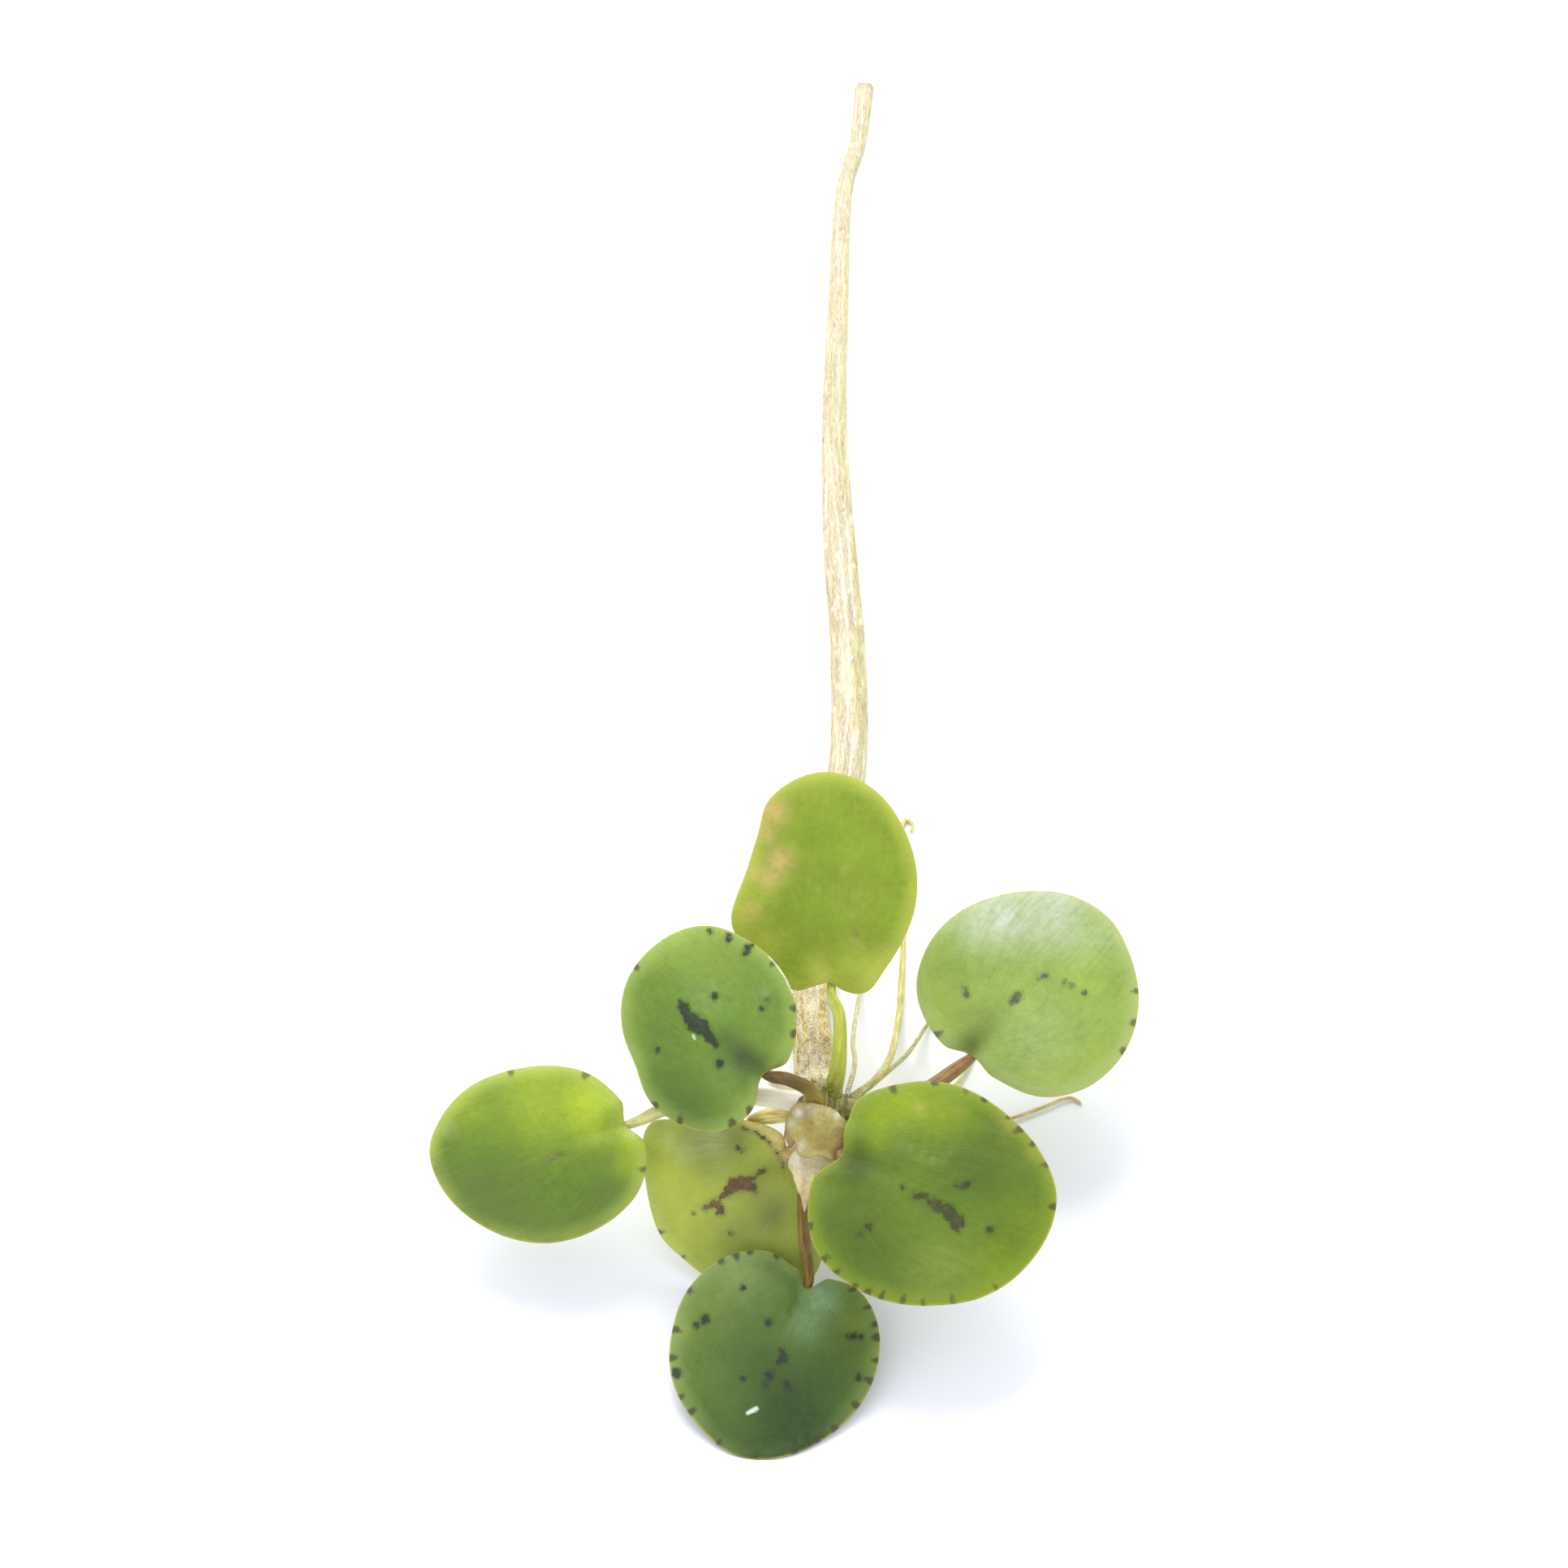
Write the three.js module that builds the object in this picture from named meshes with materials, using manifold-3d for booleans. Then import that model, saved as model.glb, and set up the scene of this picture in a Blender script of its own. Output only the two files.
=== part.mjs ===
// One frogbit plant, picked and laid on a flat surface. Seven round leaves stand on stalks around a
// small crown. The plant leans on the rims of its two lowest leaves, and its root bundle and young
// roots trail back along the surface.
//
// Millimetres, +Z up, the surface at Z = 0. While it is being built, the plant's frame starts on
// the surface straight below the crown: +X is to the plant's right and +Y is the way its roots
// trail. At the end the whole plant is moved so that its origin is at the middle of its footprint.

import * as THREE from 'three';
import { mergeVertices } from 'three/addons/utils/BufferGeometryUtils.js';
import Module from 'manifold-3d';

const wasm = await Module();
wasm.setup();

// Gap between pieces that grow from each other.
const JOINT_GAP = 0.3;

// The crown, a short stem that all the leaves and roots grow from.
const CROWN_CENTRE = new THREE.Vector3(0.8, 1.0, 18.5);
const CROWN_RADII = new THREE.Vector3(3.3, 4.2, 3.1);
const CROWN_LEAN = -35;
const CROWN_LUMP = 0.1;
const CROWN_LUMPS = 6;
const CROWN_SEGMENTS = 16;
const CROWN_ROWS = 10;

// Leaf blades. A blade is a flattened round pad: thin at its rim, spongy in the middle.
const BLADE_SEGMENTS = 32;
const BLADE_ROWS = 10;
const BLADE_TOP_BULGE = 0.35;
const BLADE_SPONGE = 0.85;
const BLADE_RIM = 0.16;
const BLADE_RIM_SHARPNESS = 3;
const BLADE_WAVES = 5;
const NOTCH_CROWDING = 0.6;
const ROLL_START = 3;

// Each leaf, from its notch, the point where the stalk joins it.
// notch: place of that point. heading: compass turn of the midrib from +X, anticlockwise.
// climb: how steeply the midrib rises. bank: roll about the midrib.
// centre: middle of the blade's oval, ahead of the notch and to its left.
// oval: the oval's long and short diameter. turn: the long one's angle from the midrib.
// cleft: width of the notch. dish: how far the rim stands above the middle, or hangs below it.
// ripple: height of the rim's waves. roll: how tightly the rim to the right of the midrib curls under.
// stalk: points of the stalk between the crown and the notch. arrival: its last two points, in the
// leaf's own frame, where they aren't the usual ones.
const LEAVES = [
  {
    name: 'front', notch: [-1, -17, 6.75], heading: -104, climb: -16, bank: -6,
    centre: [9.4, -1.8], oval: [26.9, 25.4], turn: 118, cleft: 1.9, dish: -0.8, ripple: 0.15, roll: 0,
    stalkRadius: 0.75, stalk: [[0.8, -1.6, 16.8], [-0.9, -6.5, 15], [-1.2, -12, 11]],
  },
  {
    name: 'large', notch: [3.5, -7.7, 22.2], heading: -14, climb: -8, bank: 19,
    centre: [11.8, -1.4], oval: [30, 27.5], turn: 20, cleft: 2.4, dish: -1.2, ripple: 0.1, roll: 0,
    stalkRadius: 0.85, stalk: [[2.8, -0.6, 17.8], [5, -3.8, 17.6]],
    arrival: [[-0.2, 1, -3], [-0.2, 0.2, -1.5]],
  },
  {
    name: 'right', notch: [19.2, 9.9, 18.3], heading: 48, climb: 10, bank: 16,
    centre: [10.9, 0.4], oval: [27.5, 26], turn: -65, cleft: 2.2, dish: -1.2, ripple: 0.15, roll: 0,
    stalkRadius: 0.9, stalk: [[2.4, 1.4, 18.5], [7, 1.4, 18], [12.5, 3.8, 18]],
  },
  {
    name: 'top', notch: [1.9, 14.8, 26], heading: 93, climb: 35, bank: -2,
    centre: [11.8, 0.1], oval: [28.5, 22.8], turn: -14, cleft: 2.2, dish: -0.8, ripple: 0.3, roll: 0,
    stalkRadius: 0.75, stalk: [[1.9, 1.5, 19.5], [3, 4, 24], [3.1, 9.5, 26.2]],
  },
  {
    name: 'upper_left', notch: [-6, 0.7, 27], heading: 133, climb: 16, bank: -28,
    centre: [9.1, 1.4], oval: [25, 21.4], turn: -48, cleft: 1.9, dish: -0.9, ripple: 0.2, roll: 0,
    stalkRadius: 0.8, stalk: [[0.4, 0.5, 20], [-0.6, -0.4, 25.4], [-3, -0.3, 27.2]],
  },
  {
    name: 'lower_left', notch: [-3.3, -4.2, 15.2], heading: -171, climb: -25, bank: -46,
    centre: [10, 2.6], oval: [26, 18.5], turn: -76, cleft: 2, dish: -1.4, ripple: 0.2, roll: 0.05,
    stalkRadius: 0.75, stalk: [[-0.9, 0.2, 17.8], [-2.2, -2.6, 16.8]],
  },
  {
    name: 'far_left', notch: [-23.2, -0.2, 17.6], heading: -169, climb: -11, bank: -25,
    centre: [11.2, 0.9], oval: [27.5, 22.2], turn: -19, cleft: 1.9, dish: -0.9, ripple: 0.1, roll: 0,
    stalkRadius: 0.85, stalk: [[-0.6, 1.6, 19.2], [-8.5, 1.4, 21], [-17, 0.9, 19.8]],
  },
];
const STALK_SIDES = 8;
const STALK_STEPS = 10;
const STALK_BASE_FLARE = 0.35;
const STALK_END_TAPER = 0.95;
const STALK_ARRIVAL = [[-1.6, 0, -0.55], [-0.45, 0, -0.25]];

// The long root bundle: where its middle line runs, and its width and height there.
// It leaves the crown, drops to the surface and lies along it.
const BUNDLE_ROUTE = [
  [0.4, 5.4, 16.2], [-0.6, 15.7, 10.4], [-1.5, 28, 4.2], [-0.4, 39, 1.5], [1, 54, 1.1],
  [2.3, 70, 1.1], [1.7, 88.5, 1.1], [0.7, 100, 1.1], [-0.6, 123.5, 0.8], [-0.5, 147.5, 0.65],
  [0, 169.5, 0.55], [1.4, 176, 0.55], [2.3, 187.5, 0.6],
];
const BUNDLE_WIDTHS = [6.4, 5.6, 5.2, 5.2, 5.2, 5.2, 5, 4.9, 3.6, 2.9, 2.4, 2.4, 2.8];
const BUNDLE_FLATNESS = 0.66;
const BUNDLE_STRANDS = 5;
const BUNDLE_GROOVE = 0.13;
const BUNDLE_TWISTS = 1.5;
const BUNDLE_SIDES = 20;
const BUNDLE_STEPS = 40;

// Young roots: each is round, thin and tapers to its tip.
const ROOT_SIDES = 6;
const YOUNG_ROOTS = [
  {
    name: 'root_beside_stalk', radius: 0.35, tip: 0.22, steps: 12,
    route: [[3.8, 3.8, 17.5], [4.6, 11.3, 13.6], [4.1, 18.2, 8.6], [4.3, 27, 3.2], [4.7, 34, 0.5], [5, 40, 0.3]],
  },
  {
    name: 'root_hooked', radius: 0.55, tip: 0.22, steps: 26,
    route: [
      [3.2, 4.3, 15.4], [6.7, 10.4, 10.9], [8.6, 17.3, 6.2], [9.5, 26.6, 1.6], [9.8, 34.5, 0.6], [9.8, 43, 0.5],
      [9.5, 51, 0.45], [9.4, 56.5, 0.4], [9.9, 58.9, 0.35], [10.8, 58.4, 0.3], [10.6, 56.9, 0.25],
    ],
  },
  {
    name: 'root_behind_leaf', radius: 0.4, tip: 0.22, steps: 14,
    route: [[3.2, 2.2, 16.5], [5.4, 5.8, 15.1], [8.9, 12.2, 11.3], [10.9, 18.2, 6.2], [13, 26, 1], [16.5, 33.3, 0.3]],
  },
  {
    name: 'root_green', radius: 0.4, tip: 0.22, steps: 14,
    route: [[3.6, 0.6, 15], [10.2, 8.6, 6.4], [16.4, 16.5, 1], [18.9, 21.7, 0.5], [20.3, 26.3, 0.3]],
  },
  {
    name: 'root_right', radius: 0.45, tip: 0.2, steps: 18,
    route: [
      [3.4, -0.8, 16], [7.5, 1.5, 10], [12.1, 5, 4.6], [19.5, 10.2, 0.7], [24.8, 12.7, 0.5], [28, 14.1, 0.45],
      [31.2, 15.5, 0.4], [32.6, 14.6, 0.25],
    ],
  },
];

// The pink root bud and the young leaf that is still rolled, both at the crown's left.
const BUD_ROUTE = [[-0.8, 2.4, 18], [-3.2, 4.6, 18.4], [-5.8, 6, 17.4]];
const BUD_RADIUS = 0.75;
const ROLLED_LEAF_ROUTE = [[-1.2, 1, 17.4], [-4.4, 1.4, 17.2], [-8.4, 1.6, 15.6]];
const ROLLED_LEAF_RADIUS = 1.1;
const SPINDLE_END = 0.45;
const SPINDLE_SIDES = 8;
const SPINDLE_STEPS = 6;

// The papery sheaths around the stalks' feet. Each is a thin curved scale with a pointed end.
const SHEATHS = [
  {
    name: 'sheath_brown', foot: [0.5, -1.8, 24], heading: 264, climb: -27, bank: 2,
    length: 6.8, width: 6.8, cup: -1.4, point: 0.3,
  },
  {
    name: 'sheath_pale', foot: [0.4, -5.8, 18.6], heading: 257, climb: -30, bank: 0,
    length: 8.4, width: 6.4, cup: -1.2, point: 0.7,
  },
];
const SHEATH_THICKNESS = 0.3;
const SHEATH_SEGMENTS = 16;
const SHEATH_ROWS = 8;

// Colours.
const LEAF_GREEN = 0x7fae2f;
const STALK_TAN = 0x9a7a3c;
const CROWN_GREEN = 0x5b6426;
const ROOT_STRAW = 0xe4d3a8;
const ROOT_GREEN = 0xb9c257;
const BUD_PINK = 0xe8c9bb;
const YOUNG_LEAF_YELLOW = 0xc6cc4e;
const SHEATH_BROWN = 0xb59a72;

function vector(point) {
  return new THREE.Vector3(...point);
}

function degrees(angle) {
  return THREE.MathUtils.degToRad(angle);
}

function smoothCurve(points) {
  return new THREE.CatmullRomCurve3(points.map(vector), false, 'centripetal');
}

// Leaves only the positions of a geometry, with shared corners merged.
function closedSurface(geometry) {
  geometry.deleteAttribute('normal');
  geometry.deleteAttribute('uv');
  const merged = mergeVertices(geometry, 1e-5);
  merged.computeVertexNormals();
  return merged;
}

function toManifold(geometry) {
  return new wasm.Manifold(new wasm.Mesh({
    numProp: 3,
    vertProperties: new Float32Array(geometry.attributes.position.array),
    triVerts: new Uint32Array(geometry.index.array),
  }));
}

function fromManifold(solid) {
  const mesh = solid.getMesh();
  const geometry = new THREE.BufferGeometry();
  geometry.setAttribute('position', new THREE.BufferAttribute(mesh.vertProperties, 3));
  geometry.setIndex(new THREE.BufferAttribute(mesh.triVerts, 1));
  geometry.computeVertexNormals();
  return geometry;
}

// Moves every corner of a geometry by a rule that gets and changes the corner.
function reshape(geometry, rule) {
  const positions = geometry.attributes.position;
  const corner = new THREE.Vector3();
  for (let i = 0; i < positions.count; i += 1) {
    corner.fromBufferAttribute(positions, i);
    rule(corner);
    positions.setXYZ(i, corner.x, corner.y, corner.z);
  }
  return geometry;
}

// A tube bent along a curve: section(share, angle) gives how far its skin is from the middle
// line, sideways and upwards, and rest is the lowest height that the skin may have.
function bentTube(curve, sides, steps, section, rest = 0) {
  const straight = new THREE.CylinderGeometry(1, 1, 1, sides, steps);
  const sideways = new THREE.Vector3();
  const upwards = new THREE.Vector3();
  const bend = (corner) => {
    const share = THREE.MathUtils.clamp(corner.y + 0.5, 0, 1);
    const middle = curve.getPointAt(share);
    const along = curve.getTangentAt(share);
    sideways.crossVectors(along, new THREE.Vector3(0, 0, 1)).normalize();
    upwards.crossVectors(sideways, along).normalize();
    const reach = Math.hypot(corner.x, corner.z);
    const angle = Math.atan2(corner.x, corner.z);
    const [side, up] = section(share, angle);
    corner.copy(middle);
    corner.addScaledVector(sideways, side * reach * Math.sin(angle));
    corner.addScaledVector(upwards, up * reach * Math.cos(angle));
    corner.z = Math.max(corner.z, rest);
  };
  return closedSurface(reshape(straight, bend));
}

// Turns a leaf's own frame (x along the midrib, y to its left, z out of its upper side) to where
// the leaf points.
function leafFrame({ heading, climb, bank }, place) {
  const turn = new THREE.Matrix4().makeRotationZ(degrees(heading));
  turn.multiply(new THREE.Matrix4().makeRotationY(-degrees(climb)));
  turn.multiply(new THREE.Matrix4().makeRotationX(degrees(bank)));
  return turn.setPosition(vector(place));
}

// Distance from the middle of a blade's oval to its rim, in a direction given by its angle from
// the midrib. The notch is a smooth dent on the stalk's side.
function rimDistance(leaf, angle) {
  const [long, short] = leaf.oval;
  const a = angle - degrees(leaf.turn);
  const oval = 0.5 / Math.hypot(Math.cos(a) / long, Math.sin(a) / short);
  const [ahead, left] = leaf.centre;
  const notchAngle = Math.atan2(-left, -ahead);
  const notchDistance = Math.hypot(ahead, left);
  const away = Math.atan2(Math.sin(angle - notchAngle), Math.cos(angle - notchAngle));
  const dent = Math.exp(-((away * notchDistance / leaf.cleft) ** 2));
  return oval + (notchDistance - oval) * dent;
}

// A blade starts as a sphere. Its poles become the middles of the upper and the lower side, its
// equator becomes the rim, and its corners crowd together at the notch.
function bladeGeometry(leaf) {
  const ball = new THREE.SphereGeometry(1, BLADE_SEGMENTS, BLADE_ROWS);
  const [ahead, left] = leaf.centre;
  const notchAngle = Math.atan2(-left, -ahead);
  const frame = leafFrame(leaf, leaf.notch);
  const press = (corner) => {
    const reach = Math.min(Math.hypot(corner.x, corner.z), 1);
    const round = Math.atan2(-corner.z, corner.x);
    const angle = notchAngle + round - NOTCH_CROWDING * Math.sin(round);
    const distance = rimDistance(leaf, angle) * reach;
    const bulge = corner.y > 0 ? BLADE_TOP_BULGE : BLADE_SPONGE;
    const edge = Math.min(1, Math.abs(corner.y) * BLADE_RIM_SHARPNESS);
    const rim = BLADE_RIM * Math.sign(corner.y) * edge;
    const wave = leaf.ripple * Math.sin(BLADE_WAVES * angle) * reach ** 4;
    const x = ahead + distance * Math.cos(angle);
    const y = left + distance * Math.sin(angle);
    const curl = leaf.roll * Math.max(0, -y - ROLL_START) ** 2;
    const height = leaf.dish * reach ** 2 + wave - curl + bulge * corner.y * Math.abs(corner.y) + rim;
    corner.set(x, y, height);
    corner.applyMatrix4(frame);
    corner.z = Math.max(corner.z, 0);
  };
  return closedSurface(reshape(ball, press));
}

function stalkGeometry(leaf) {
  const frame = leafFrame(leaf, leaf.notch);
  const arrival = (leaf.arrival ?? STALK_ARRIVAL).map((point) => vector(point).applyMatrix4(frame));
  const curve = smoothCurve([...leaf.stalk, ...arrival.map((point) => point.toArray())]);
  return bentTube(curve, STALK_SIDES, STALK_STEPS, (share) => {
    const radius = leaf.stalkRadius * (STALK_END_TAPER + STALK_BASE_FLARE * (1 - share) ** 2);
    return [radius, radius];
  });
}

function bundleGeometry() {
  const curve = smoothCurve(BUNDLE_ROUTE);
  const last = BUNDLE_WIDTHS.length - 1;
  const marks = BUNDLE_ROUTE.map((point, i) => new THREE.Vector2(i, BUNDLE_WIDTHS[i]));
  const widths = new THREE.SplineCurve(marks);
  return bentTube(curve, BUNDLE_SIDES, BUNDLE_STEPS, (share, angle) => {
    const width = widths.getPoint(curve.getUtoTmapping(share)).y;
    const twist = BUNDLE_TWISTS * 2 * Math.PI * share;
    const groove = 1 - BUNDLE_GROOVE * (1 - Math.cos(BUNDLE_STRANDS * angle + twist)) / 2;
    return [width / 2 * groove, width / 2 * groove * BUNDLE_FLATNESS];
  });
}

function youngRootGeometry(root) {
  return bentTube(smoothCurve(root.route), ROOT_SIDES, root.steps, (share) => {
    const radius = THREE.MathUtils.lerp(root.radius, root.tip, share);
    return [radius, radius];
  });
}

// A spindle along a route, widest at its middle.
function spindleGeometry(route, radius) {
  return bentTube(smoothCurve(route), SPINDLE_SIDES, SPINDLE_STEPS, (share) => {
    const thickness = radius * THREE.MathUtils.lerp(SPINDLE_END, 1, Math.sin(Math.PI * share));
    return [thickness, thickness];
  });
}

function crownShape(grow) {
  const ball = new THREE.SphereGeometry(1, CROWN_SEGMENTS, CROWN_ROWS);
  const lean = new THREE.Matrix4().makeRotationX(degrees(CROWN_LEAN));
  return closedSurface(reshape(ball, (corner) => {
    const round = Math.atan2(corner.x, corner.z);
    const lump = 1 + CROWN_LUMP * Math.cos(CROWN_LUMPS * round) * Math.hypot(corner.x, corner.z);
    corner.multiply(CROWN_RADII.clone().addScalar(grow)).multiplyScalar(lump);
    corner.applyMatrix4(lean).add(CROWN_CENTRE);
  }));
}

// A sheath is a pressed sphere too, drawn out to a point at its free end and cupped about the
// line that it points along.
function sheathGeometry(sheath) {
  const ball = new THREE.SphereGeometry(1, SHEATH_SEGMENTS, SHEATH_ROWS);
  const frame = leafFrame(sheath, sheath.foot);
  return closedSurface(reshape(ball, (corner) => {
    const along = corner.x;
    const narrowing = 1 - sheath.point * Math.max(along, 0) ** 2;
    const across = corner.z * narrowing;
    const cup = sheath.cup * across ** 2;
    corner.set(
      sheath.length / 2 * (1 + along),
      -sheath.width / 2 * across,
      cup + SHEATH_THICKNESS * corner.y,
    );
    corner.applyMatrix4(frame);
  }));
}

function material(color, roughness) {
  return new THREE.MeshStandardMaterial({ color, roughness, metalness: 0, side: THREE.FrontSide });
}

const plant = new THREE.Group();

function addPiece(name, geometry, finish) {
  const piece = new THREE.Mesh(geometry, finish);
  piece.name = name;
  plant.add(piece);
}

// Cuts a stalk or root back to just outside the crown.
const crownWithGap = toManifold(crownShape(JOINT_GAP));
function grownFromCrown(geometry) {
  return fromManifold(toManifold(geometry).subtract(crownWithGap));
}

addPiece('crown', crownShape(0), material(CROWN_GREEN, 0.7));
for (const leaf of LEAVES) {
  addPiece(`leaf_${leaf.name}`, bladeGeometry(leaf), material(LEAF_GREEN, 0.45));
  addPiece(`stalk_${leaf.name}`, grownFromCrown(stalkGeometry(leaf)), material(STALK_TAN, 0.5));
}
addPiece('root_bundle', grownFromCrown(bundleGeometry()), material(ROOT_STRAW, 0.8));
for (const root of YOUNG_ROOTS) {
  addPiece(root.name, grownFromCrown(youngRootGeometry(root)), material(ROOT_GREEN, 0.6));
}
const bud = spindleGeometry(BUD_ROUTE, BUD_RADIUS);
addPiece('root_bud', grownFromCrown(bud), material(BUD_PINK, 0.5));
const rolledLeaf = spindleGeometry(ROLLED_LEAF_ROUTE, ROLLED_LEAF_RADIUS);
addPiece('rolled_leaf', grownFromCrown(rolledLeaf), material(YOUNG_LEAF_YELLOW, 0.5));
for (const sheath of SHEATHS) {
  addPiece(sheath.name, sheathGeometry(sheath), material(SHEATH_BROWN, 0.6));
}

// The origin goes to the middle of the footprint, on the surface.
const footprint = new THREE.Box3().setFromObject(plant);
const middle = footprint.getCenter(new THREE.Vector3());
plant.position.set(-middle.x, -middle.y, -footprint.min.z);
plant.updateMatrixWorld(true);

export default plant;
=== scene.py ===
"""Dresses a small round-leaved floating plant that was picked and laid on a pale surface.

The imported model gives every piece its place. Here each leaf gets a thin spongy blade with its
spots, every stalk its ribs, and the roots their strands and fine hairs.
"""

import math
import random
from dataclasses import dataclass
from functools import reduce

import bmesh
import bpy
import numpy as np
from mathutils import Euler, Matrix, Vector, noise


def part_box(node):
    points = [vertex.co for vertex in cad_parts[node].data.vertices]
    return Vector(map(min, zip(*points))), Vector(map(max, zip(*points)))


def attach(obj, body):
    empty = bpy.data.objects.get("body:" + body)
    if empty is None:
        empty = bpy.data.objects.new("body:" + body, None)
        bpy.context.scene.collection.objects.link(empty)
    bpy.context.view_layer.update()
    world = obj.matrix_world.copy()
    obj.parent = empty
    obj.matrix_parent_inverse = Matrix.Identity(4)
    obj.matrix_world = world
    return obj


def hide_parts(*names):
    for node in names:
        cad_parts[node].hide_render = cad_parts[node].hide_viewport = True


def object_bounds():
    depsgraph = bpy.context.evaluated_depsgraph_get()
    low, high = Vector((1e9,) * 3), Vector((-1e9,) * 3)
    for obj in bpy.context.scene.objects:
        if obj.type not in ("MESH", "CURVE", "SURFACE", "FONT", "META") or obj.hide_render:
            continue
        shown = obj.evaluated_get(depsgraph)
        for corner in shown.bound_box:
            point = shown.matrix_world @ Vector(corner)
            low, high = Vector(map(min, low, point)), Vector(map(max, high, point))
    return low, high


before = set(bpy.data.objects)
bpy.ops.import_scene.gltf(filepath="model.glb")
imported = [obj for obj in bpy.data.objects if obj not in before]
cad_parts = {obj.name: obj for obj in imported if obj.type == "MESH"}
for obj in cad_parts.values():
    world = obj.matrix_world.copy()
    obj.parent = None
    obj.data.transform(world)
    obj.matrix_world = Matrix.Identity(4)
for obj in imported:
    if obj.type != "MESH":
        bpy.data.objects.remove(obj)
cad_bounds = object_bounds()

MM = 0.001
FULL_TURN = 2 * math.pi

# The plant's own frame: millimetres, from the surface straight below the crown. +X is to its
# right, +Y is the way its roots trail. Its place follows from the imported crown's middle.
CROWN_CENTRE = Vector((0.8, 1.0, 18.5))
crown_low, crown_high = (Vector(corner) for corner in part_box("crown"))
START = (crown_low + crown_high) / 2 - CROWN_CENTRE * MM

# The photograph's camera, in the plant's own frame. Its picture is square.
PHOTO_SIDE = 1932
PHOTO_FOCAL = 4561.7
PHOTO_EYE = Vector((31.9, -473.5, 709.3))
PHOTO_ELEVATION = math.radians(55)
PHOTO_AHEAD = Vector((0, math.cos(PHOTO_ELEVATION), -math.sin(PHOTO_ELEVATION)))
PHOTO_RIGHT = Vector((1, 0, 0))
PHOTO_UP = PHOTO_RIGHT.cross(PHOTO_AHEAD)

# The part of the photograph that holds this plant, which the render shows.
VIEW_MIDDLE = (772, 790)
VIEW_SIDE = 1040
SENSOR = 36

# How many photograph pixels a millimetre takes at the crown.
PIXELS_PER_MM = 5.4

BOX_MARGIN = 0.04 * MM
REST_GAP = 0.02 * MM
SAME_PLACE = 1e-7


def placed(point):
    """A point of the plant's own frame, in millimetres, as a place in the scene."""
    return START + Vector(point) * MM


def sight(across, down):
    """The direction in which the photograph's camera sees one of its pixels."""
    ahead = PHOTO_AHEAD * PHOTO_FOCAL
    right = PHOTO_RIGHT * (across - PHOTO_SIDE / 2)
    up = PHOTO_UP * (PHOTO_SIDE / 2 - down)
    return (ahead + right + up).normalized()


def photo_pixels(piece):
    """The photograph's pixel at which its camera sees each corner of a placed piece."""
    away = (corner_places(piece) - np.array(placed(PHOTO_EYE))) / MM
    depth = away @ np.array(PHOTO_AHEAD)
    across = PHOTO_SIDE / 2 + PHOTO_FOCAL * (away @ np.array(PHOTO_RIGHT)) / depth
    down = PHOTO_SIDE / 2 - PHOTO_FOCAL * (away @ np.array(PHOTO_UP)) / depth
    return np.column_stack([across, down])


def tilted_frame(foot, heading, climb, bank):
    """A frame at a foot, with x turned to its heading and lifted by its climb, then banked."""
    turn = Matrix.Rotation(math.radians(heading), 4, "Z")
    turn = turn @ Matrix.Rotation(-math.radians(climb), 4, "Y")
    turn = turn @ Matrix.Rotation(math.radians(bank), 4, "X")
    return Matrix.Translation(placed(foot)) @ turn


def pixel_on_plane(tilted, pixel, height):
    """Where the photograph's pixel shows a flat piece, in the piece's own tilted frame.

    The piece lies at a height in that frame. What would lie under the surface is taken from where
    the pixel shows the surface.
    """
    eye = placed(PHOTO_EYE)
    aim = sight(*pixel)
    here = tilted.inverted()
    start = here @ eye
    way = here.to_3x3() @ aim
    spot = start + way * ((height * MM - start.z) / way.z)
    if (tilted @ spot).z < 0:
        ground = here @ (eye - aim * (eye.z / aim.z))
        up = here.to_3x3() @ Vector((0, 0, 1))
        spot = ground + up * ((height * MM - ground.z) / up.z)
    return np.array(spot.to_2d()) / MM


def polar(away):
    """The angle and the length of a flat vector, or of each row of them."""
    away = np.asarray(away)
    return np.arctan2(away[..., 1], away[..., 0]), np.hypot(away[..., 0], away[..., 1])


# Shaping by hand.

def deselect_all():
    """Leaves no object selected, and Blender in object mode."""
    if bpy.context.object and bpy.context.object.mode != "OBJECT":
        bpy.ops.object.mode_set(mode="OBJECT")
    bpy.ops.object.select_all(action="DESELECT")


def pick(piece):
    """Selects one piece and nothing else."""
    deselect_all()
    piece.select_set(True)
    bpy.context.view_layer.objects.active = piece


def edit(piece):
    """Opens one piece in edit mode, with all of it selected."""
    pick(piece)
    bpy.ops.object.mode_set(mode="EDIT")
    bpy.ops.mesh.select_all(action="SELECT")


def close_edit():
    bpy.ops.object.mode_set(mode="OBJECT")


def select_corner(piece, index):
    """Selects, in edit mode, one corner and nothing else."""
    bpy.ops.mesh.select_mode(type="VERT")
    shape = bmesh.from_edit_mesh(piece.data)
    for corner in shape.verts:
        corner.select = corner.index == index
    shape.select_flush(True)
    shape.select_flush(False)
    bmesh.update_edit_mesh(piece.data)


def face_outwards(piece):
    """Turns every face of a closed piece outwards."""
    edit(piece)
    bpy.ops.mesh.normals_make_consistent(inside=False)
    close_edit()


def smooth_outwards(piece):
    """Gives a finished closed piece its smooth outer skin."""
    face_outwards(piece)
    bpy.ops.object.shade_smooth()
    return piece


def fill_inwards(reaches, middle=(0, 0, 0), height=lambda reach: 0):
    """Draws the selected edge in to a middle, ring by ring, each ring at its own height."""
    for reach, ring in zip(reaches, reaches[1:]):
        lift = (height(ring) - height(reach)) * MM
        bpy.ops.mesh.extrude_edges_move(TRANSFORM_OT_translate={"value": (0, 0, lift)})
        bpy.ops.transform.resize(value=(ring / reach, ring / reach, 1), center_override=middle)
    bpy.ops.mesh.merge(type="CENTER")


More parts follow.
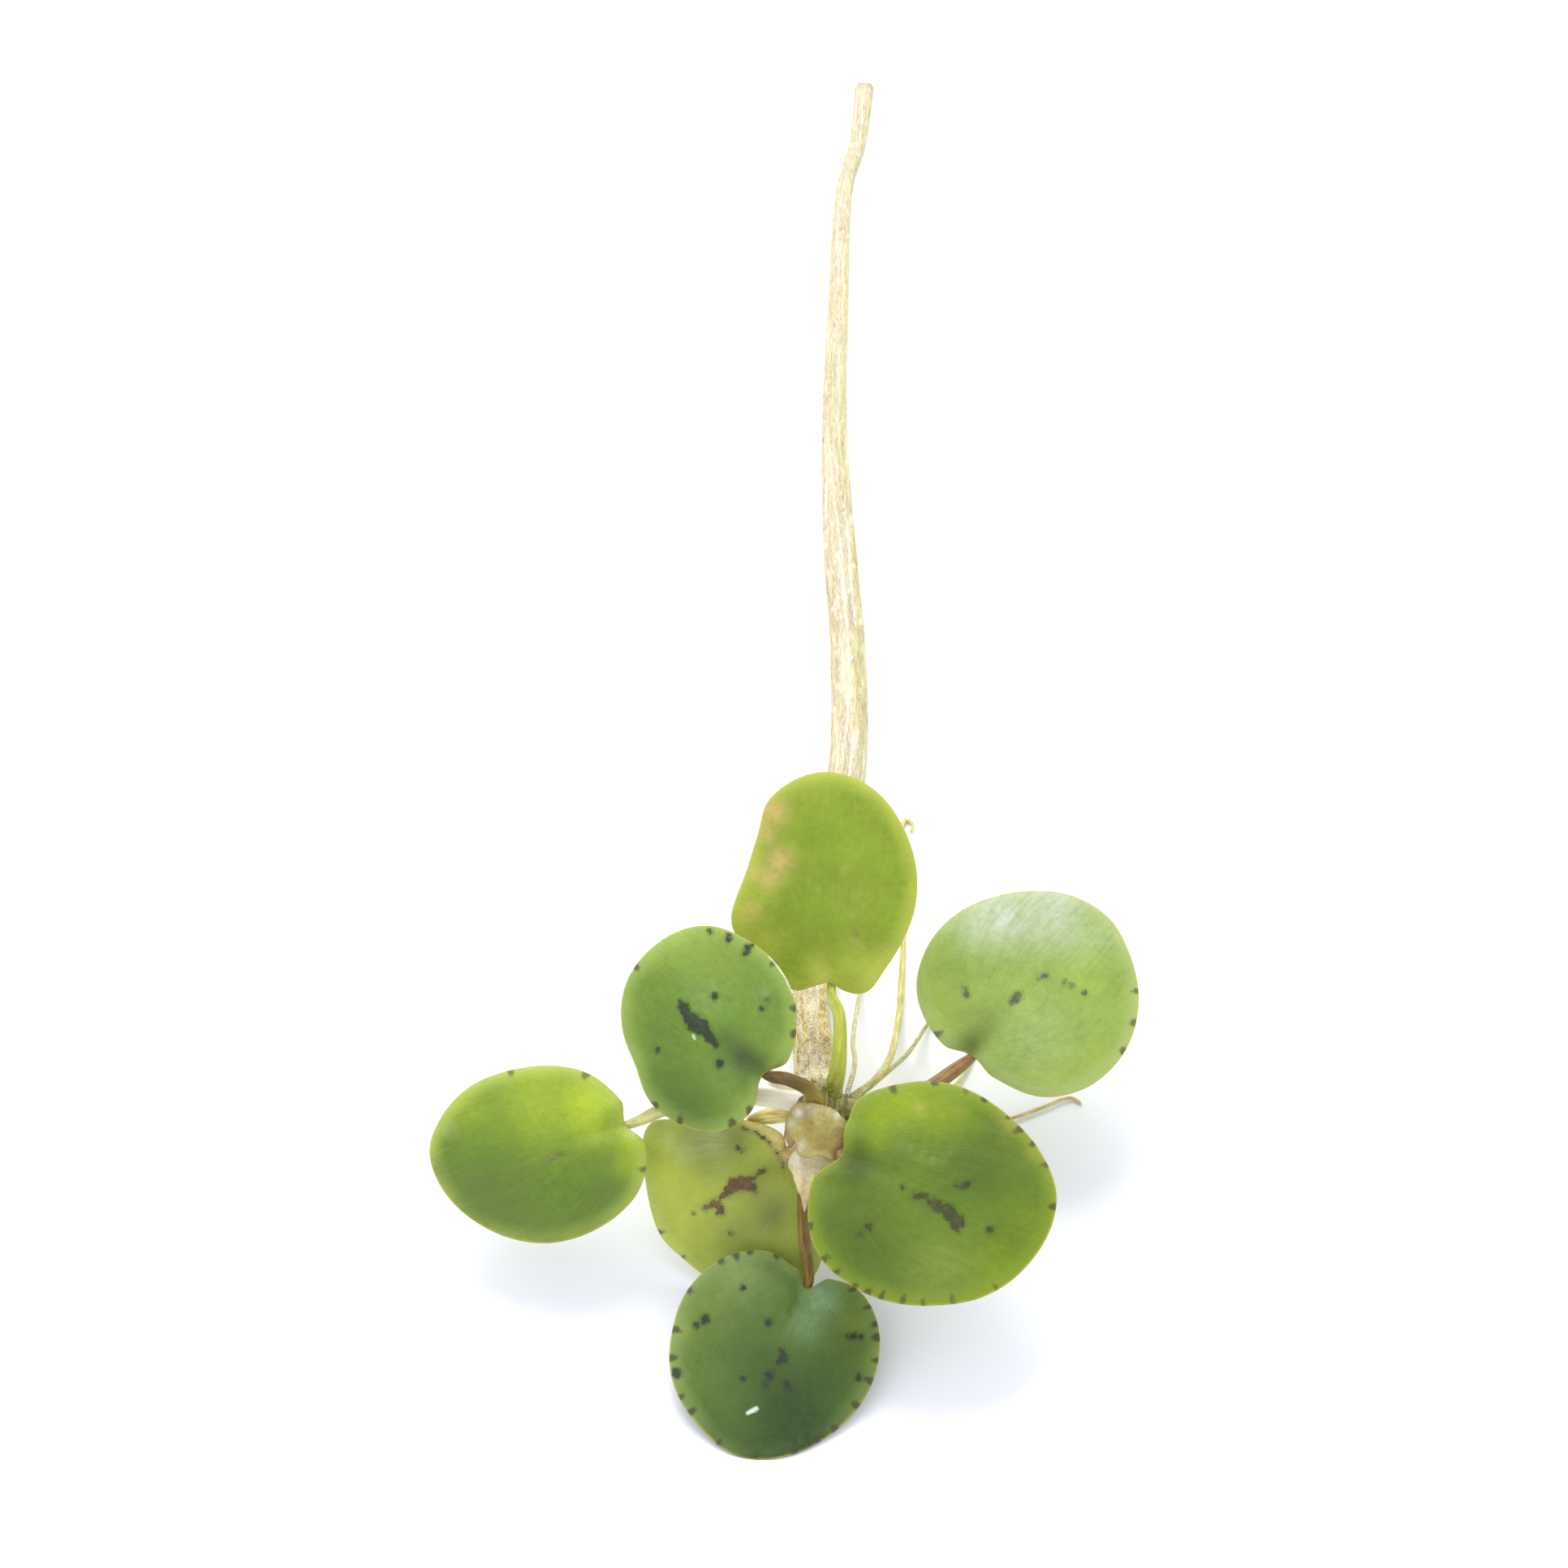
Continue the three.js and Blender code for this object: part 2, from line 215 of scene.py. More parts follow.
def settle(piece, place):
    """Moves a piece to its place, which becomes part of its mesh."""
    piece.matrix_world = place
    pick(piece)
    bpy.ops.object.transform_apply(location=True, rotation=True, scale=True)


def corner_places(piece):
    """Every corner's place on a piece's mesh, one row each."""
    places = np.empty(len(piece.data.vertices) * 3)
    piece.data.vertices.foreach_get("co", places)
    return places.reshape(-1, 3)


def move_corners(piece, places):
    piece.data.vertices.foreach_set("co", np.asarray(places, float).ravel())
    piece.data.update()


def keep_value(piece, name, values):
    """Keeps one number for each corner, for the piece's material."""
    layer = piece.data.attributes.new(name, "FLOAT", "POINT")
    layer.data.foreach_set("value", np.asarray(values, float))


def keep_vector(piece, name, vectors):
    """Keeps three numbers for each corner, for the piece's material."""
    layer = piece.data.attributes.new(name, "FLOAT_VECTOR", "POINT")
    layer.data.foreach_set("vector", np.asarray(vectors, float).ravel())


def keep_patches(piece, pixels, name, zones):
    """Keeps how strongly soft round patches colour each corner, from the pixels they lie at."""
    left = np.ones(len(pixels))
    for across, down, radius, strength in zones:
        gap = np.linalg.norm(pixels - (across, down), axis=1)
        left *= 1 - strength * np.exp(-(gap / radius) ** 2)
    keep_value(piece, name, 1 - left)


def dress(piece, name, node, finish):
    """Names a finished piece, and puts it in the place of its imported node."""
    piece.name = name
    piece.data.name = name
    piece.data.materials.clear()
    piece.data.materials.append(finish)
    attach(piece, "root")
    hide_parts(node)
    return piece


def keep_inside(places):
    """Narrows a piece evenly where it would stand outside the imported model's own box."""
    low, high = (np.array(corner) for corner in cad_bounds)
    low[:2] += BOX_MARGIN
    high -= BOX_MARGIN
    first, last = places.min(axis=0), places.max(axis=0)
    low[2] = min(low[2], first[2])
    new_first, new_last = np.maximum(first, low), np.minimum(last, high)
    return new_first + (places - first) * (new_last - new_first) / (last - first)


def rest_on_surface(places):
    """Bends up the low end of a piece that would reach under the surface."""
    lowest, highest = places[:, 2].min(), places[:, 2].max()
    lift = max(0, REST_GAP - lowest)
    places[:, 2] += lift * ((highest - places[:, 2]) / (highest - lowest)) ** 2
    return places


# Finishes.

def toned(colour, factor):
    """A colour made darker or lighter."""
    return tuple(factor * part for part in colour)


class Finish:
    """A material being put together: one shader, and the nodes that colour and roughen it."""

    def __init__(self, name, **sockets):
        """sockets are the shader's own values that are the same all over, named in small letters."""
        self.material = bpy.data.materials.new(name)
        self.material.use_nodes = True
        self.tree = self.material.node_tree
        self.shader = self.tree.nodes["Principled BSDF"]
        for socket in self.shader.inputs:
            plain = socket.name.lower().replace(" ", "_")
            if plain in sockets:
                socket.default_value = sockets[plain]

    def add(self, kind, inputs, output=0, **settings):
        """Adds a node. Its inputs are other nodes' outputs or plain values."""
        node = self.tree.nodes.new(kind)
        for setting, value in settings.items():
            setattr(node, setting, value)
        for socket, value in inputs.items():
            if isinstance(value, bpy.types.NodeSocket):
                self.tree.links.new(value, node.inputs[socket])
            else:
                node.inputs[socket].default_value = value
        return node.outputs[output]

    def value(self, name):
        return self.add("ShaderNodeAttribute", {}, output="Fac", attribute_name=name)

    def vector(self, name):
        return self.add("ShaderNodeAttribute", {}, output="Vector", attribute_name=name)

    def object_place(self):
        return self.add("ShaderNodeTexCoord", {}, output="Object")

    def stretched(self, place, scale):
        return self.add("ShaderNodeMapping", {"Vector": place, "Scale": scale})

    def texture(self, kind, place, scale, inputs, **settings):
        """A texture. A scale of three numbers stretches it along the axes."""
        if isinstance(scale, tuple):
            place, scale = self.stretched(place, scale), 1.0
        return self.add(kind, {"Vector": place, "Scale": scale, **inputs}, **settings)

    def noise(self, place, scale, detail=3.0, roughness=0.55, distortion=0.0):
        inputs = {"Detail": detail, "Roughness": roughness, "Distortion": distortion}
        return self.texture("ShaderNodeTexNoise", place, scale, inputs)

    def cell_edges(self, place, scale, low, high):
        """The edges between cells, from low, where they are faint, to high, where they are full."""
        cells = self.texture(
            "ShaderNodeTexVoronoi", place, scale, {}, output="Distance", feature="DISTANCE_TO_EDGE",
        )
        return self.rise(cells, low, high)

    def patches(self, place, scale, low, high, detail=3.0, roughness=0.55):
        """Patches of noise: 0 where it is under low, 1 where it is over high."""
        return self.rise(self.noise(place, scale, detail, roughness), low, high)

    def calculate(self, operation, *values):
        return self.add("ShaderNodeMath", dict(enumerate(values)), operation=operation)

    def sum(self, *values):
        return reduce(lambda a, b: self.calculate("ADD", a, b), values)

    def times(self, *values):
        return reduce(lambda a, b: self.calculate("MULTIPLY", a, b), values)

    def line(self, value, slope, start):
        """start, and slope times the value on top of it."""
        return self.sum(self.times(value, slope), start)

    def stray(self, value):
        """How far a noise is from its middle."""
        return self.calculate("SUBTRACT", value, 0.5)

    def rise(self, value, low, high):
        """0 below low, 1 above high, and a smooth rise between. It falls where low is above high."""
        inputs = {"Value": value, "From Min": low, "From Max": high}
        return self.add("ShaderNodeMapRange", inputs, interpolation_type="SMOOTHSTEP")

    def mix(self, a, b, *strengths):
        """A colour with another over it, as strong as the strengths' product."""
        colours = {0: self.times(*strengths), 6: self.opaque(a), 7: self.opaque(b)}
        return self.add("ShaderNodeMix", colours, output=2, data_type="RGBA")

    def ramp(self, value, *stops):
        """A colour for each value, from (value, colour) stops."""
        node = self.tree.nodes.new("ShaderNodeValToRGB")
        self.tree.links.new(value, node.inputs[0])
        points = node.color_ramp.elements
        while len(points) < len(stops):
            points.new(0.5)
        for point, (position, colour) in zip(points, stops):
            point.position = position
            point.color = self.opaque(colour)
        return node.outputs[0]

    def bump(self, height, depth, under=None):
        """A relief as deep as depth millimetres, on top of the one under it."""
        inputs = {"Height": height, "Distance": depth * MM, "Strength": 1.0}
        if under:
            inputs["Normal"] = under
        return self.add("ShaderNodeBump", inputs)

    def done(self, colour, roughness, relief=None):
        self.tree.links.new(colour, self.shader.inputs["Base Color"])
        self.tree.links.new(roughness, self.shader.inputs["Roughness"])
        if relief:
            self.tree.links.new(relief, self.shader.inputs["Normal"])
        return self.material

    @staticmethod
    def opaque(colour):
        if isinstance(colour, bpy.types.NodeSocket):
            return colour
        return (*colour, 1)


# Camera.

def add_camera():
    """The photograph's camera, in its place, turned to this plant and with a longer lens."""
    camera = bpy.data.objects.new("camera", bpy.data.cameras.new("camera"))
    bpy.context.scene.collection.objects.link(camera)
    camera.location = placed(PHOTO_EYE)
    camera.data.sensor_width = SENSOR
    camera.data.lens = SENSOR * PHOTO_FOCAL / VIEW_SIDE
    turn = PHOTO_AHEAD.rotation_difference(sight(*VIEW_MIDDLE))
    straight = Euler((math.pi / 2 - PHOTO_ELEVATION, 0, 0)).to_quaternion()
    camera.rotation_mode = "QUATERNION"
    camera.rotation_quaternion = turn @ straight
    camera.data.clip_start = 0.01
    camera.data.clip_end = 10
    bpy.context.scene.camera = camera


# Smooth lines, tubes and threads.

SPAN_STEPS = 24
AIM_STEP = 0.004
SHARP_TIP = 0.01


def curve_span(before, start, end, after):
    """Points from start to just before end, on a smooth curve through all four."""
    knots = [0.0]
    for a, b in ((before, start), (start, end), (end, after)):
        knots.append(knots[-1] + math.sqrt(np.linalg.norm(b - a)))
    first, second, third, fourth = knots
    t = np.linspace(second, third, SPAN_STEPS, endpoint=False)[:, None]

    def between(a, b, low, high):
        return ((high - t) * a + (t - low) * b) / (high - low)

    left = between(before, start, first, second)
    middle = between(start, end, second, third)
    right = between(end, after, third, fourth)
    near = between(left, middle, first, third)
    far = between(middle, right, second, fourth)
    return between(near, far, second, third)


def curve_through(chain):
    """Points on a smooth curve from a chain's second point to just before its last but one."""
    return [curve_span(*four) for four in zip(chain, chain[1:], chain[2:], chain[3:])]


class Route:
    """A smooth line through a few points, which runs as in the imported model."""

    def __init__(self, points):
        points = [np.array(point, float) for point in points]
        ends = [2 * points[0] - points[1], 2 * points[-1] - points[-2]]
        self.line = np.vstack([*curve_through([ends[0], *points, ends[1]]), points[-1]])
        steps = np.linalg.norm(np.diff(self.line, axis=0), axis=1)
        distances = np.concatenate([[0], np.cumsum(steps)])
        self.length = distances[-1]
        self.shares = distances / self.length
        self.point_shares = self.shares[::SPAN_STEPS]

    def at(self, share):
        """The points at these shares of the line's length."""
        return np.stack([np.interp(share, self.shares, axis) for axis in self.line.T], axis=-1)

    def around(self, share, angle, side_reach, up_reach, rest):
        """Points round the line, at their reaches sideways and upwards. None is below rest."""
        along = self.at(np.minimum(share + AIM_STEP, 1)) - self.at(np.maximum(share - AIM_STEP, 0))
        along /= np.linalg.norm(along, axis=-1, keepdims=True)
        side = np.cross(along, (0, 0, 1))
        side /= np.linalg.norm(side, axis=-1, keepdims=True)
        points = self.at(share) + side * (side_reach * np.sin(angle))[..., None]
        points += np.cross(side, along) * (up_reach * np.cos(angle))[..., None]
        points[..., 2] = np.maximum(points[..., 2], rest)
        return points


def rolled_tube(route, around, along, section, rest=0.0):
    """A closed tube round a line: a flat grid that is rolled up, bent and closed at its ends.

    section(share, angle) gives how far the skin is from the line, sideways and upwards. Each
    corner keeps its place on the straight tube, in millimetres, in the attribute "straight".
    """
    deselect_all()
    bpy.ops.mesh.primitive_grid_add(x_subdivisions=around, y_subdivisions=along, size=1)
    piece = bpy.context.object
    flat = corner_places(piece)
    angle = (flat[:, 0] + 0.5) * FULL_TURN
    share = np.clip(flat[:, 1] + 0.5, 0, 1)
    side_reach, up_reach = section(share, angle)
    places = route.around(share, angle, side_reach, up_reach, rest)
    move_corners(piece, np.array(START) + places * MM)
    straight = (side_reach * np.sin(angle), up_reach * np.cos(angle), share * route.length)
    keep_vector(piece, "straight", np.stack(straight, axis=-1))
    keep_value(piece, "share", share)
    edit(piece)
    bpy.ops.mesh.remove_doubles(threshold=SAME_PLACE)
    bpy.ops.mesh.select_all(action="SELECT")
    bpy.ops.mesh.fill_holes(sides=0)
    return smooth_outwards(piece)


def rounded_tip(share, end):
    """1 along a tube, and falling to almost nothing at its tip, over the last share of it."""
    left = (1 - share) / end
    return np.where(left < 1, np.sqrt(np.clip(1 - (1 - left) ** 2, SHARP_TIP, 1)), 1)


def thread_piece(paths, thickness, sides=0):
    """Many thin tapered threads in one mesh, each through the points and widths of its path."""
    data = bpy.data.curves.new("threads", "CURVE")
    data.dimensions = "3D"
    data.bevel_depth = thickness * MM
    data.bevel_resolution = sides
    data.use_fill_caps = True
    for points, widths in paths:
        thread = data.splines.new("POLY")
        thread.points.add(len(points) - 1)
        rows = np.hstack([np.array(START) + points * MM, np.ones((len(points), 1))])
        thread.points.foreach_set("co", rows.ravel())
        thread.points.foreach_set("radius", widths)
    piece = bpy.data.objects.new("threads", data)
    bpy.context.scene.collection.objects.link(piece)
    pick(piece)
    bpy.ops.object.convert(target="MESH")
    piece = bpy.context.object
    edit(piece)
    bpy.ops.mesh.remove_doubles(threshold=SAME_PLACE)
    return smooth_outwards(piece)


def spread(dice, count):
    """What draws one number for each thread, evenly spread between two."""
    return lambda low, high: dice.uniform(low, high, (count, 1))


# Leaf blades.

BLADE_POINTS = 240
BLADE_RINGS = 44
TOP_BULGE = 0.35
SPONGE = 0.85
RIM_THICKNESS = 0.16
RIM_SHARPNESS = 3
RIM_WAVES = 5
RIM_SMOOTHING = 12
NOTCH_SPREAD = 1.66
BROAD_SCALE = 0.11
BROAD_HEIGHT = 0.35
FINE_SCALE = 0.38
FINE_HEIGHT = 0.09
RIB_DEPTH = 0.26
RIB_LENGTH = 4.5
SHOULDER_HEIGHT = 0.45
DASH_START = 0.15
DASH_WIDTHS = (0.28, 0.6)
DASH_LENGTHS = (0.5, 1.1)

# Further from a mark's edge than its colour reaches.
FAR = 1000.0


def bell(value, width):
    """1 where the value is 0, and falling off smoothly to both sides."""
    return math.exp(-(value / width) ** 2)


@dataclass
class Leaf:
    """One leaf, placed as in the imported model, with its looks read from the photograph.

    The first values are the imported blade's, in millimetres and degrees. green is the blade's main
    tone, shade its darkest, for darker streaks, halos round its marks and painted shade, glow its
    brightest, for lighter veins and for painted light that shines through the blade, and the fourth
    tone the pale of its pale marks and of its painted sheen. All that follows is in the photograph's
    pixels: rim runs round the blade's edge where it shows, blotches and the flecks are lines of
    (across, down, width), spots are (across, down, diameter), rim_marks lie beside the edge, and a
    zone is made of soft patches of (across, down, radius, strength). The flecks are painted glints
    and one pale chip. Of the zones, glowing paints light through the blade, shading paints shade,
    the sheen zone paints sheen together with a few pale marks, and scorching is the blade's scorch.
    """
    name: str
    notch: tuple
    heading: float
    climb: float
    bank: float
    centre: tuple
    oval: tuple
    turn: float
    cleft: float
    dish: float
    ripple: float
    stalk_radius: float
    stalk: tuple
    slot: str
    stalk_slot: str
    green: tuple
    shade: tuple
    glow: tuple
    # The pale of painted sheen and of pale marks.
    sheen_and_pale: tuple
    stalk_colours: tuple
    rim: tuple
    # Zones of painted light through the blade, painted shade, and painted sheen with a few pale marks.
    glowing: tuple
    shading: tuple
    hazing: tuple
    mark_colour: tuple
    spots: tuple
    blotches: tuple = ()
    rim_marks: tuple = ()
    scorching: tuple = ()
    scorch_colour: tuple = (0.52, 0.38, 0.12)
    streaking: float = 0.12
    flecks: tuple = ()
    arrival: tuple = ((-1.6, 0, -1.1),)
    stalk_breadth: float = 1.0
    foot_colour: tuple = (0.3, 0.3, 0.08)
    foot_reach: float = 0.22
    foot_dirt: float = 0.0

    def frame(self):
        """The leaf's own frame, with x along its midrib, in its place."""
        return tilted_frame(self.notch, self.heading, self.climb, self.bank)

    def under_pixel(self, pixel):
        """The way from the blade's middle to where the pixel shows it, in the leaf's own frame."""
        return pixel_on_plane(self.frame(), pixel, self.dish) - self.centre

    def top_height(self, reach):
        """How high the blade's upper side is, at a share of the way from its middle to its rim."""
        u = math.sqrt(1 - reach ** 2)
        return self.dish * reach ** 2 + TOP_BULGE * u ** 2 + RIM_THICKNESS * min(1, RIM_SHARPNESS * u)

    def underside_height(self, reach):
        u = math.sqrt(1 - reach ** 2)
        return self.dish * reach ** 2 - SPONGE * u ** 2 - RIM_THICKNESS * min(1, RIM_SHARPNESS * u)


# In each leaf, glowing paints the light that shines through the blade, shading paints shade, and the sheen
# zone paints sheen together with a few pale marks.
LEAVES = (
    Leaf(
        name="front", notch=(-1, -17, 6.75), heading=-104, climb=-16, bank=-6,
        centre=(9.4, -1.8), oval=(26.9, 25.4), turn=118, cleft=1.25, dish=-0.8, ripple=0.15,
        stalk_radius=0.75, stalk=((0.8, -1.6, 16.8), (-0.9, -6.5, 15), (-1.2, -12, 11)),
        slot="leaf_dark", stalk_slot="stalk_brown",
        green=(0.085, 0.15, 0.024), shade=(0.026, 0.058, 0.014), glow=(0.22, 0.29, 0.06),
        sheen_and_pale=(0.22, 0.36, 0.19), stalk_colours=((0.09, 0.05, 0.01), (0.32, 0.21, 0.045)),
        rim=(
            (696, 1175), (698, 1154), (705, 1132), (717, 1116), (733, 1104), (751, 1099), (767, 1101),
            (777, 1110), (797, 1118), (818, 1123), (829, 1135), (836, 1160), (834, 1180), (816, 1214),
            (797, 1230), (770, 1241), (740, 1240), (715, 1219),
        ),
        blotches=(
            ((771, 1165, 3), (772, 1170, 7), (769, 1173, 4)),
            ((773, 1187, 3), (775, 1190, 5), (777, 1192, 2)),
        ),
        spots=(
            (763, 1182, 6), (760, 1188, 4), (762, 1147, 4.5), (745, 1184, 3), (745, 1124, 3),
            (720, 1145, 6),
            (714, 1149, 4), (701, 1181, 6), (819, 1156, 4), (815, 1156, 3), (823, 1156, 3), (822, 1183, 4),
        ),
        rim_marks=(
            (732, 1110), (741, 1105), (750, 1102), (767, 1104), (712, 1129), (701, 1154), (697, 1173),
            (705, 1200), (710, 1211), (730, 1230), (779, 1237), (795, 1230), (805, 1221), (822, 1207),
            (830, 1189), (833, 1175), (833, 1159), (832, 1150), (828, 1138), (820, 1124),
        ),
        glowing=(
            (701, 1152, 12, 0.8), (697, 1180, 10, 0.5), (835, 1170, 8, 0.55), (740, 1110, 18, 0.75),
            (720, 1134, 15, 0.4), (822, 1146, 12, 0.55), (808, 1129, 9, 0.45), (825, 1172, 10, 0.2),
        ),
        shading=(
            (776, 1208, 38, 0.95), (790, 1230, 18, 0.9), (755, 1240, 20, 0.75), (724, 1224, 12, 0.4),
            (800, 1182, 20, 0.3), (764, 1172, 16, 0.3), (747, 1166, 14, 0.25),
        ),
        hazing=((798, 1131, 12, 0.95), (788, 1149, 11, 0.5), (745, 1116, 18, 0.25)),
        streaking=0.05, mark_colour=(0.026, 0.034, 0.026),
        flecks=(((748, 1207, 1.5), (754, 1204, 2.5)),),
    ),
    Leaf(
        name="large", notch=(3.5, -7.7, 22.2), heading=-14, climb=-8, bank=19,
        centre=(11.8, -1.4), oval=(30, 27.5), turn=20, cleft=2.4, dish=-1.2, ripple=0.1,
        stalk_radius=0.85, stalk=((2.8, -0.6, 17.8), (5, -3.8, 17.6)), arrival=((-0.2, 1, -3),),
        slot="leaf_green", stalk_slot="stalk_green",
        green=(0.1, 0.168, 0.014), shade=(0.055, 0.09, 0.014), glow=(0.24, 0.33, 0.004),
        sheen_and_pale=(0.2, 0.27, 0.075), stalk_colours=((0.12, 0.08, 0.02), (0.28, 0.19, 0.06)),
        rim=(
            (788, 1067), (814, 1016), (819, 1000), (843, 990), (870, 987), (921, 1010), (945, 1038),
            (953, 1062), (937, 1105), (905, 1130), (870, 1136), (819, 1124), (793, 1099),
        ),
        blotches=(
            ((860, 1063, 4), (863, 1063, 3), (866, 1064, 4.5), (870, 1068, 3)),
            ((870, 1068, 3), (873, 1069, 8), (877, 1072, 3), (880, 1070, 5)),
            ((877, 1072, 5), (882, 1074, 9), (887, 1080, 9.5), (887, 1084, 5)),
            ((886, 1056, 2), (889, 1057, 3), (892, 1056, 4), (896, 1054, 2)),
        ),
        spots=(
            (909, 1086, 5), (851, 1057, 3), (828, 1084, 4), (822, 1089, 3),
        ),
        rim_marks=(
            (845, 993), (872, 991), (893, 993), (906, 998), (924, 1008), (931, 1017), (936, 1029),
            (944, 1043), (947, 1070), (791, 1083), (799, 1105), (806, 1114), (819, 1123), (827, 1128),
            (837, 1129), (851, 1132), (865, 1131), (884, 1132), (913, 1125),
        ),
        glowing=(
            (852, 1000, 16, 0.95), (873, 1005, 20, 0.6), (892, 1010, 16, 0.12), (880, 1110, 30, 0.28),
            (834, 1011, 13, 0.75), (835, 1028, 8, 0.4), (913, 1112, 18, 0.4), (936, 1080, 18, 0.25),
        ),
        shading=((820, 1044, 12, 0.9), (903, 1045, 22, 0.4), (832, 1100, 22, 0.4), (814, 1076, 17, 0.35)),
        hazing=(
            (878, 1112, 26, 0.42), (848, 1029, 3, 0.35), (856, 1031, 3, 0.4), (864, 1035, 3, 0.45),
            (871, 1039, 3, 0.55), (878, 1039, 3, 0.5), (882, 1034, 2.5, 0.35), (849, 1017, 2, 0.5),
            (800, 1062, 8, 0.2),
        ),
        scorching=((922, 1014, 10, 0.25), (862, 1005, 4, 0.32), (889, 1007, 5, 0.14), (938, 1035, 7, 0.2)),
        mark_colour=(0.045, 0.052, 0.018),
    ),
    Leaf(
        name="right", notch=(19.2, 9.9, 18.3), heading=48, climb=10, bank=16,
        centre=(10.9, 0.4), oval=(27.5, 26), turn=-65, cleft=2.2, dish=-1.2, ripple=0.15,
        stalk_radius=0.9, stalk=((2.4, 1.4, 18.5), (7, 1.4, 18), (12.5, 3.8, 18)),
        slot="leaf_pale", stalk_slot="stalk_brown",
        green=(0.245, 0.355, 0.066), shade=(0.13, 0.17, 0.03), glow=(0.32, 0.41, 0.065),
        sheen_and_pale=(0.52, 0.56, 0.49), stalk_colours=((0.15, 0.085, 0.028), (0.38, 0.23, 0.09)),
        rim=(
            (860, 927), (866, 900), (883, 879), (910, 865), (939, 861), (968, 866), (989, 879),
            (1003, 905), (1008, 936), (991, 978), (968, 994), (943, 998), (911, 984), (870, 954),
        ),
        blotches=(((923, 934, 4), (927, 931, 6), (929, 929, 2)),),
        spots=(
            (893, 930, 4), (892, 926, 3), (945, 917, 3), (958, 922, 2.5), (963, 924, 2.5), (971, 929, 3),
            (942, 919, 2),
        ),
        rim_marks=((1006, 928), (1001, 948), (873, 957), (996, 966)),
        glowing=(
            (867, 925, 13, 0.8), (950, 990, 22, 0.6), (985, 975, 14, 0.7), (878, 945, 12, 0.5),
            (1003, 940, 9, 0.5), (870, 905, 10, 0.4),
        ),
        shading=((896, 963, 8, 0.9), (904, 950, 13, 0.35), (890, 945, 10, 0.2)),
        hazing=(
            (915, 877, 19, 0.9), (952, 869, 22, 0.7), (985, 892, 12, 0.2), (943, 886, 16, 0.3),
            (895, 888, 12, 0.3), (965, 894, 14, 0.2), (940, 960, 26, 0.15),
        ),
        streaking=0.18, mark_colour=(0.08, 0.1, 0.06),
    ),
    Leaf(
        name="top", notch=(1.9, 14.8, 26), heading=93, climb=35, bank=-2,
        centre=(11.8, 0.1), oval=(28.5, 22.8), turn=-14, cleft=0.8, dish=-0.8, ripple=0.3,
        stalk_radius=0.75, stalk=((1.9, 1.5, 19.5), (3, 4, 24), (3.1, 9.5, 26.2)),
        slot="leaf_yellow_green", stalk_slot="stalk_green",
        green=(0.212, 0.3, 0.023), shade=(0.165, 0.245, 0.018), glow=(0.45, 0.49, 0.07),
        sheen_and_pale=(0.36, 0.42, 0.1), stalk_colours=((0.27, 0.31, 0.025), (0.5, 0.52, 0.085)),
        rim=(
            (759, 803), (756, 817), (752, 830), (746, 850), (739, 868), (736, 880), (743, 896),
            (772, 924), (781, 928), (790, 925), (801, 922), (811, 927), (819, 930), (829, 928),
            (837, 916), (850, 896), (859, 873),
            (860, 845), (851, 817), (834, 794), (815, 783), (792, 781), (775, 788),
        ),
        spots=((820, 890, 3), (851, 856, 2)),
        glowing=(
            (745, 878, 12, 0.8), (834, 916, 14, 0.9), (800, 918, 16, 0.7), (757, 860, 10, 0.4),
            (790, 792, 14, 0.25), (760, 898, 13, 0.75),
        ),
        shading=((780, 898, 16, 0.4), (806, 860, 24, 0.35), (800, 820, 18, 0.25)),
        hazing=((815, 868, 14, 0.15), (779, 833, 3, 0.4), (813, 847, 3.5, 0.45), (795, 860, 2.5, 0.3)),
        scorching=(
            (766, 809, 9, 1.0), (761, 824, 6, 0.7), (769, 841, 9, 1.0), (763, 853, 7, 0.8),
            (751, 874, 6, 0.6), (754, 850, 6, 0.5), (819, 895, 5, 0.25), (795, 926, 6, 0.4),
        ),
        scorch_colour=(0.52, 0.38, 0.13), mark_colour=(0.2, 0.16, 0.04), foot_dirt=0.75,
    ),
    Leaf(
        name="upper_left", notch=(-6, 0.7, 27), heading=133, climb=16, bank=-28,
        centre=(9.1, 1.4), oval=(25, 21.4), turn=-48, cleft=1.9, dish=-0.9, ripple=0.2,
        stalk_radius=0.8, stalk=((0.4, 0.5, 20), (-0.6, -0.4, 25.4), (-3, -0.3, 27.2)), arrival=(),
        slot="leaf_green", stalk_slot="stalk_brown",
        green=(0.128, 0.225, 0.028), shade=(0.055, 0.09, 0.026), glow=(0.31, 0.41, 0.07),
        sheen_and_pale=(0.3, 0.42, 0.18), stalk_colours=((0.055, 0.028, 0.008), (0.17, 0.11, 0.03)),
        rim=(
            (664, 952), (666, 925), (680, 902), (698, 889), (722, 884), (745, 892), (762, 904), (775, 922),
            (781, 946), (775, 974), (757, 993), (750, 1009), (726, 1021), (703, 1016), (683, 1001),
            (674, 978),
        ),
        blotches=(
            ((703, 934, 2), (705, 938, 6), (708, 943, 7), (712, 949, 9), (716, 953, 8)),
            ((718, 949, 6), (720, 954, 8), (723, 958, 7), (727, 963, 4)),
            ((706, 943, 3), (714, 944, 3), (718, 948, 4)),
            ((746, 903, 2), (748, 899, 4), (751, 897, 2)),
        ),
        spots=(
            (726, 931, 4), (729, 976, 5), (761, 934, 3), (758, 939, 3), (735, 893, 3.5), (736, 890, 2.5),
            (688, 967, 3), (723, 888, 3),
        ),
        rim_marks=(
            (765, 909), (777, 939), (779, 956), (671, 909), (689, 1000), (749, 1006),
            (738, 1015), (703, 1013),
        ),
        glowing=(
            (700, 890, 15, 0.75), (682, 904, 12, 0.45), (714, 912, 18, 0.25), (740, 910, 15, 0.25),
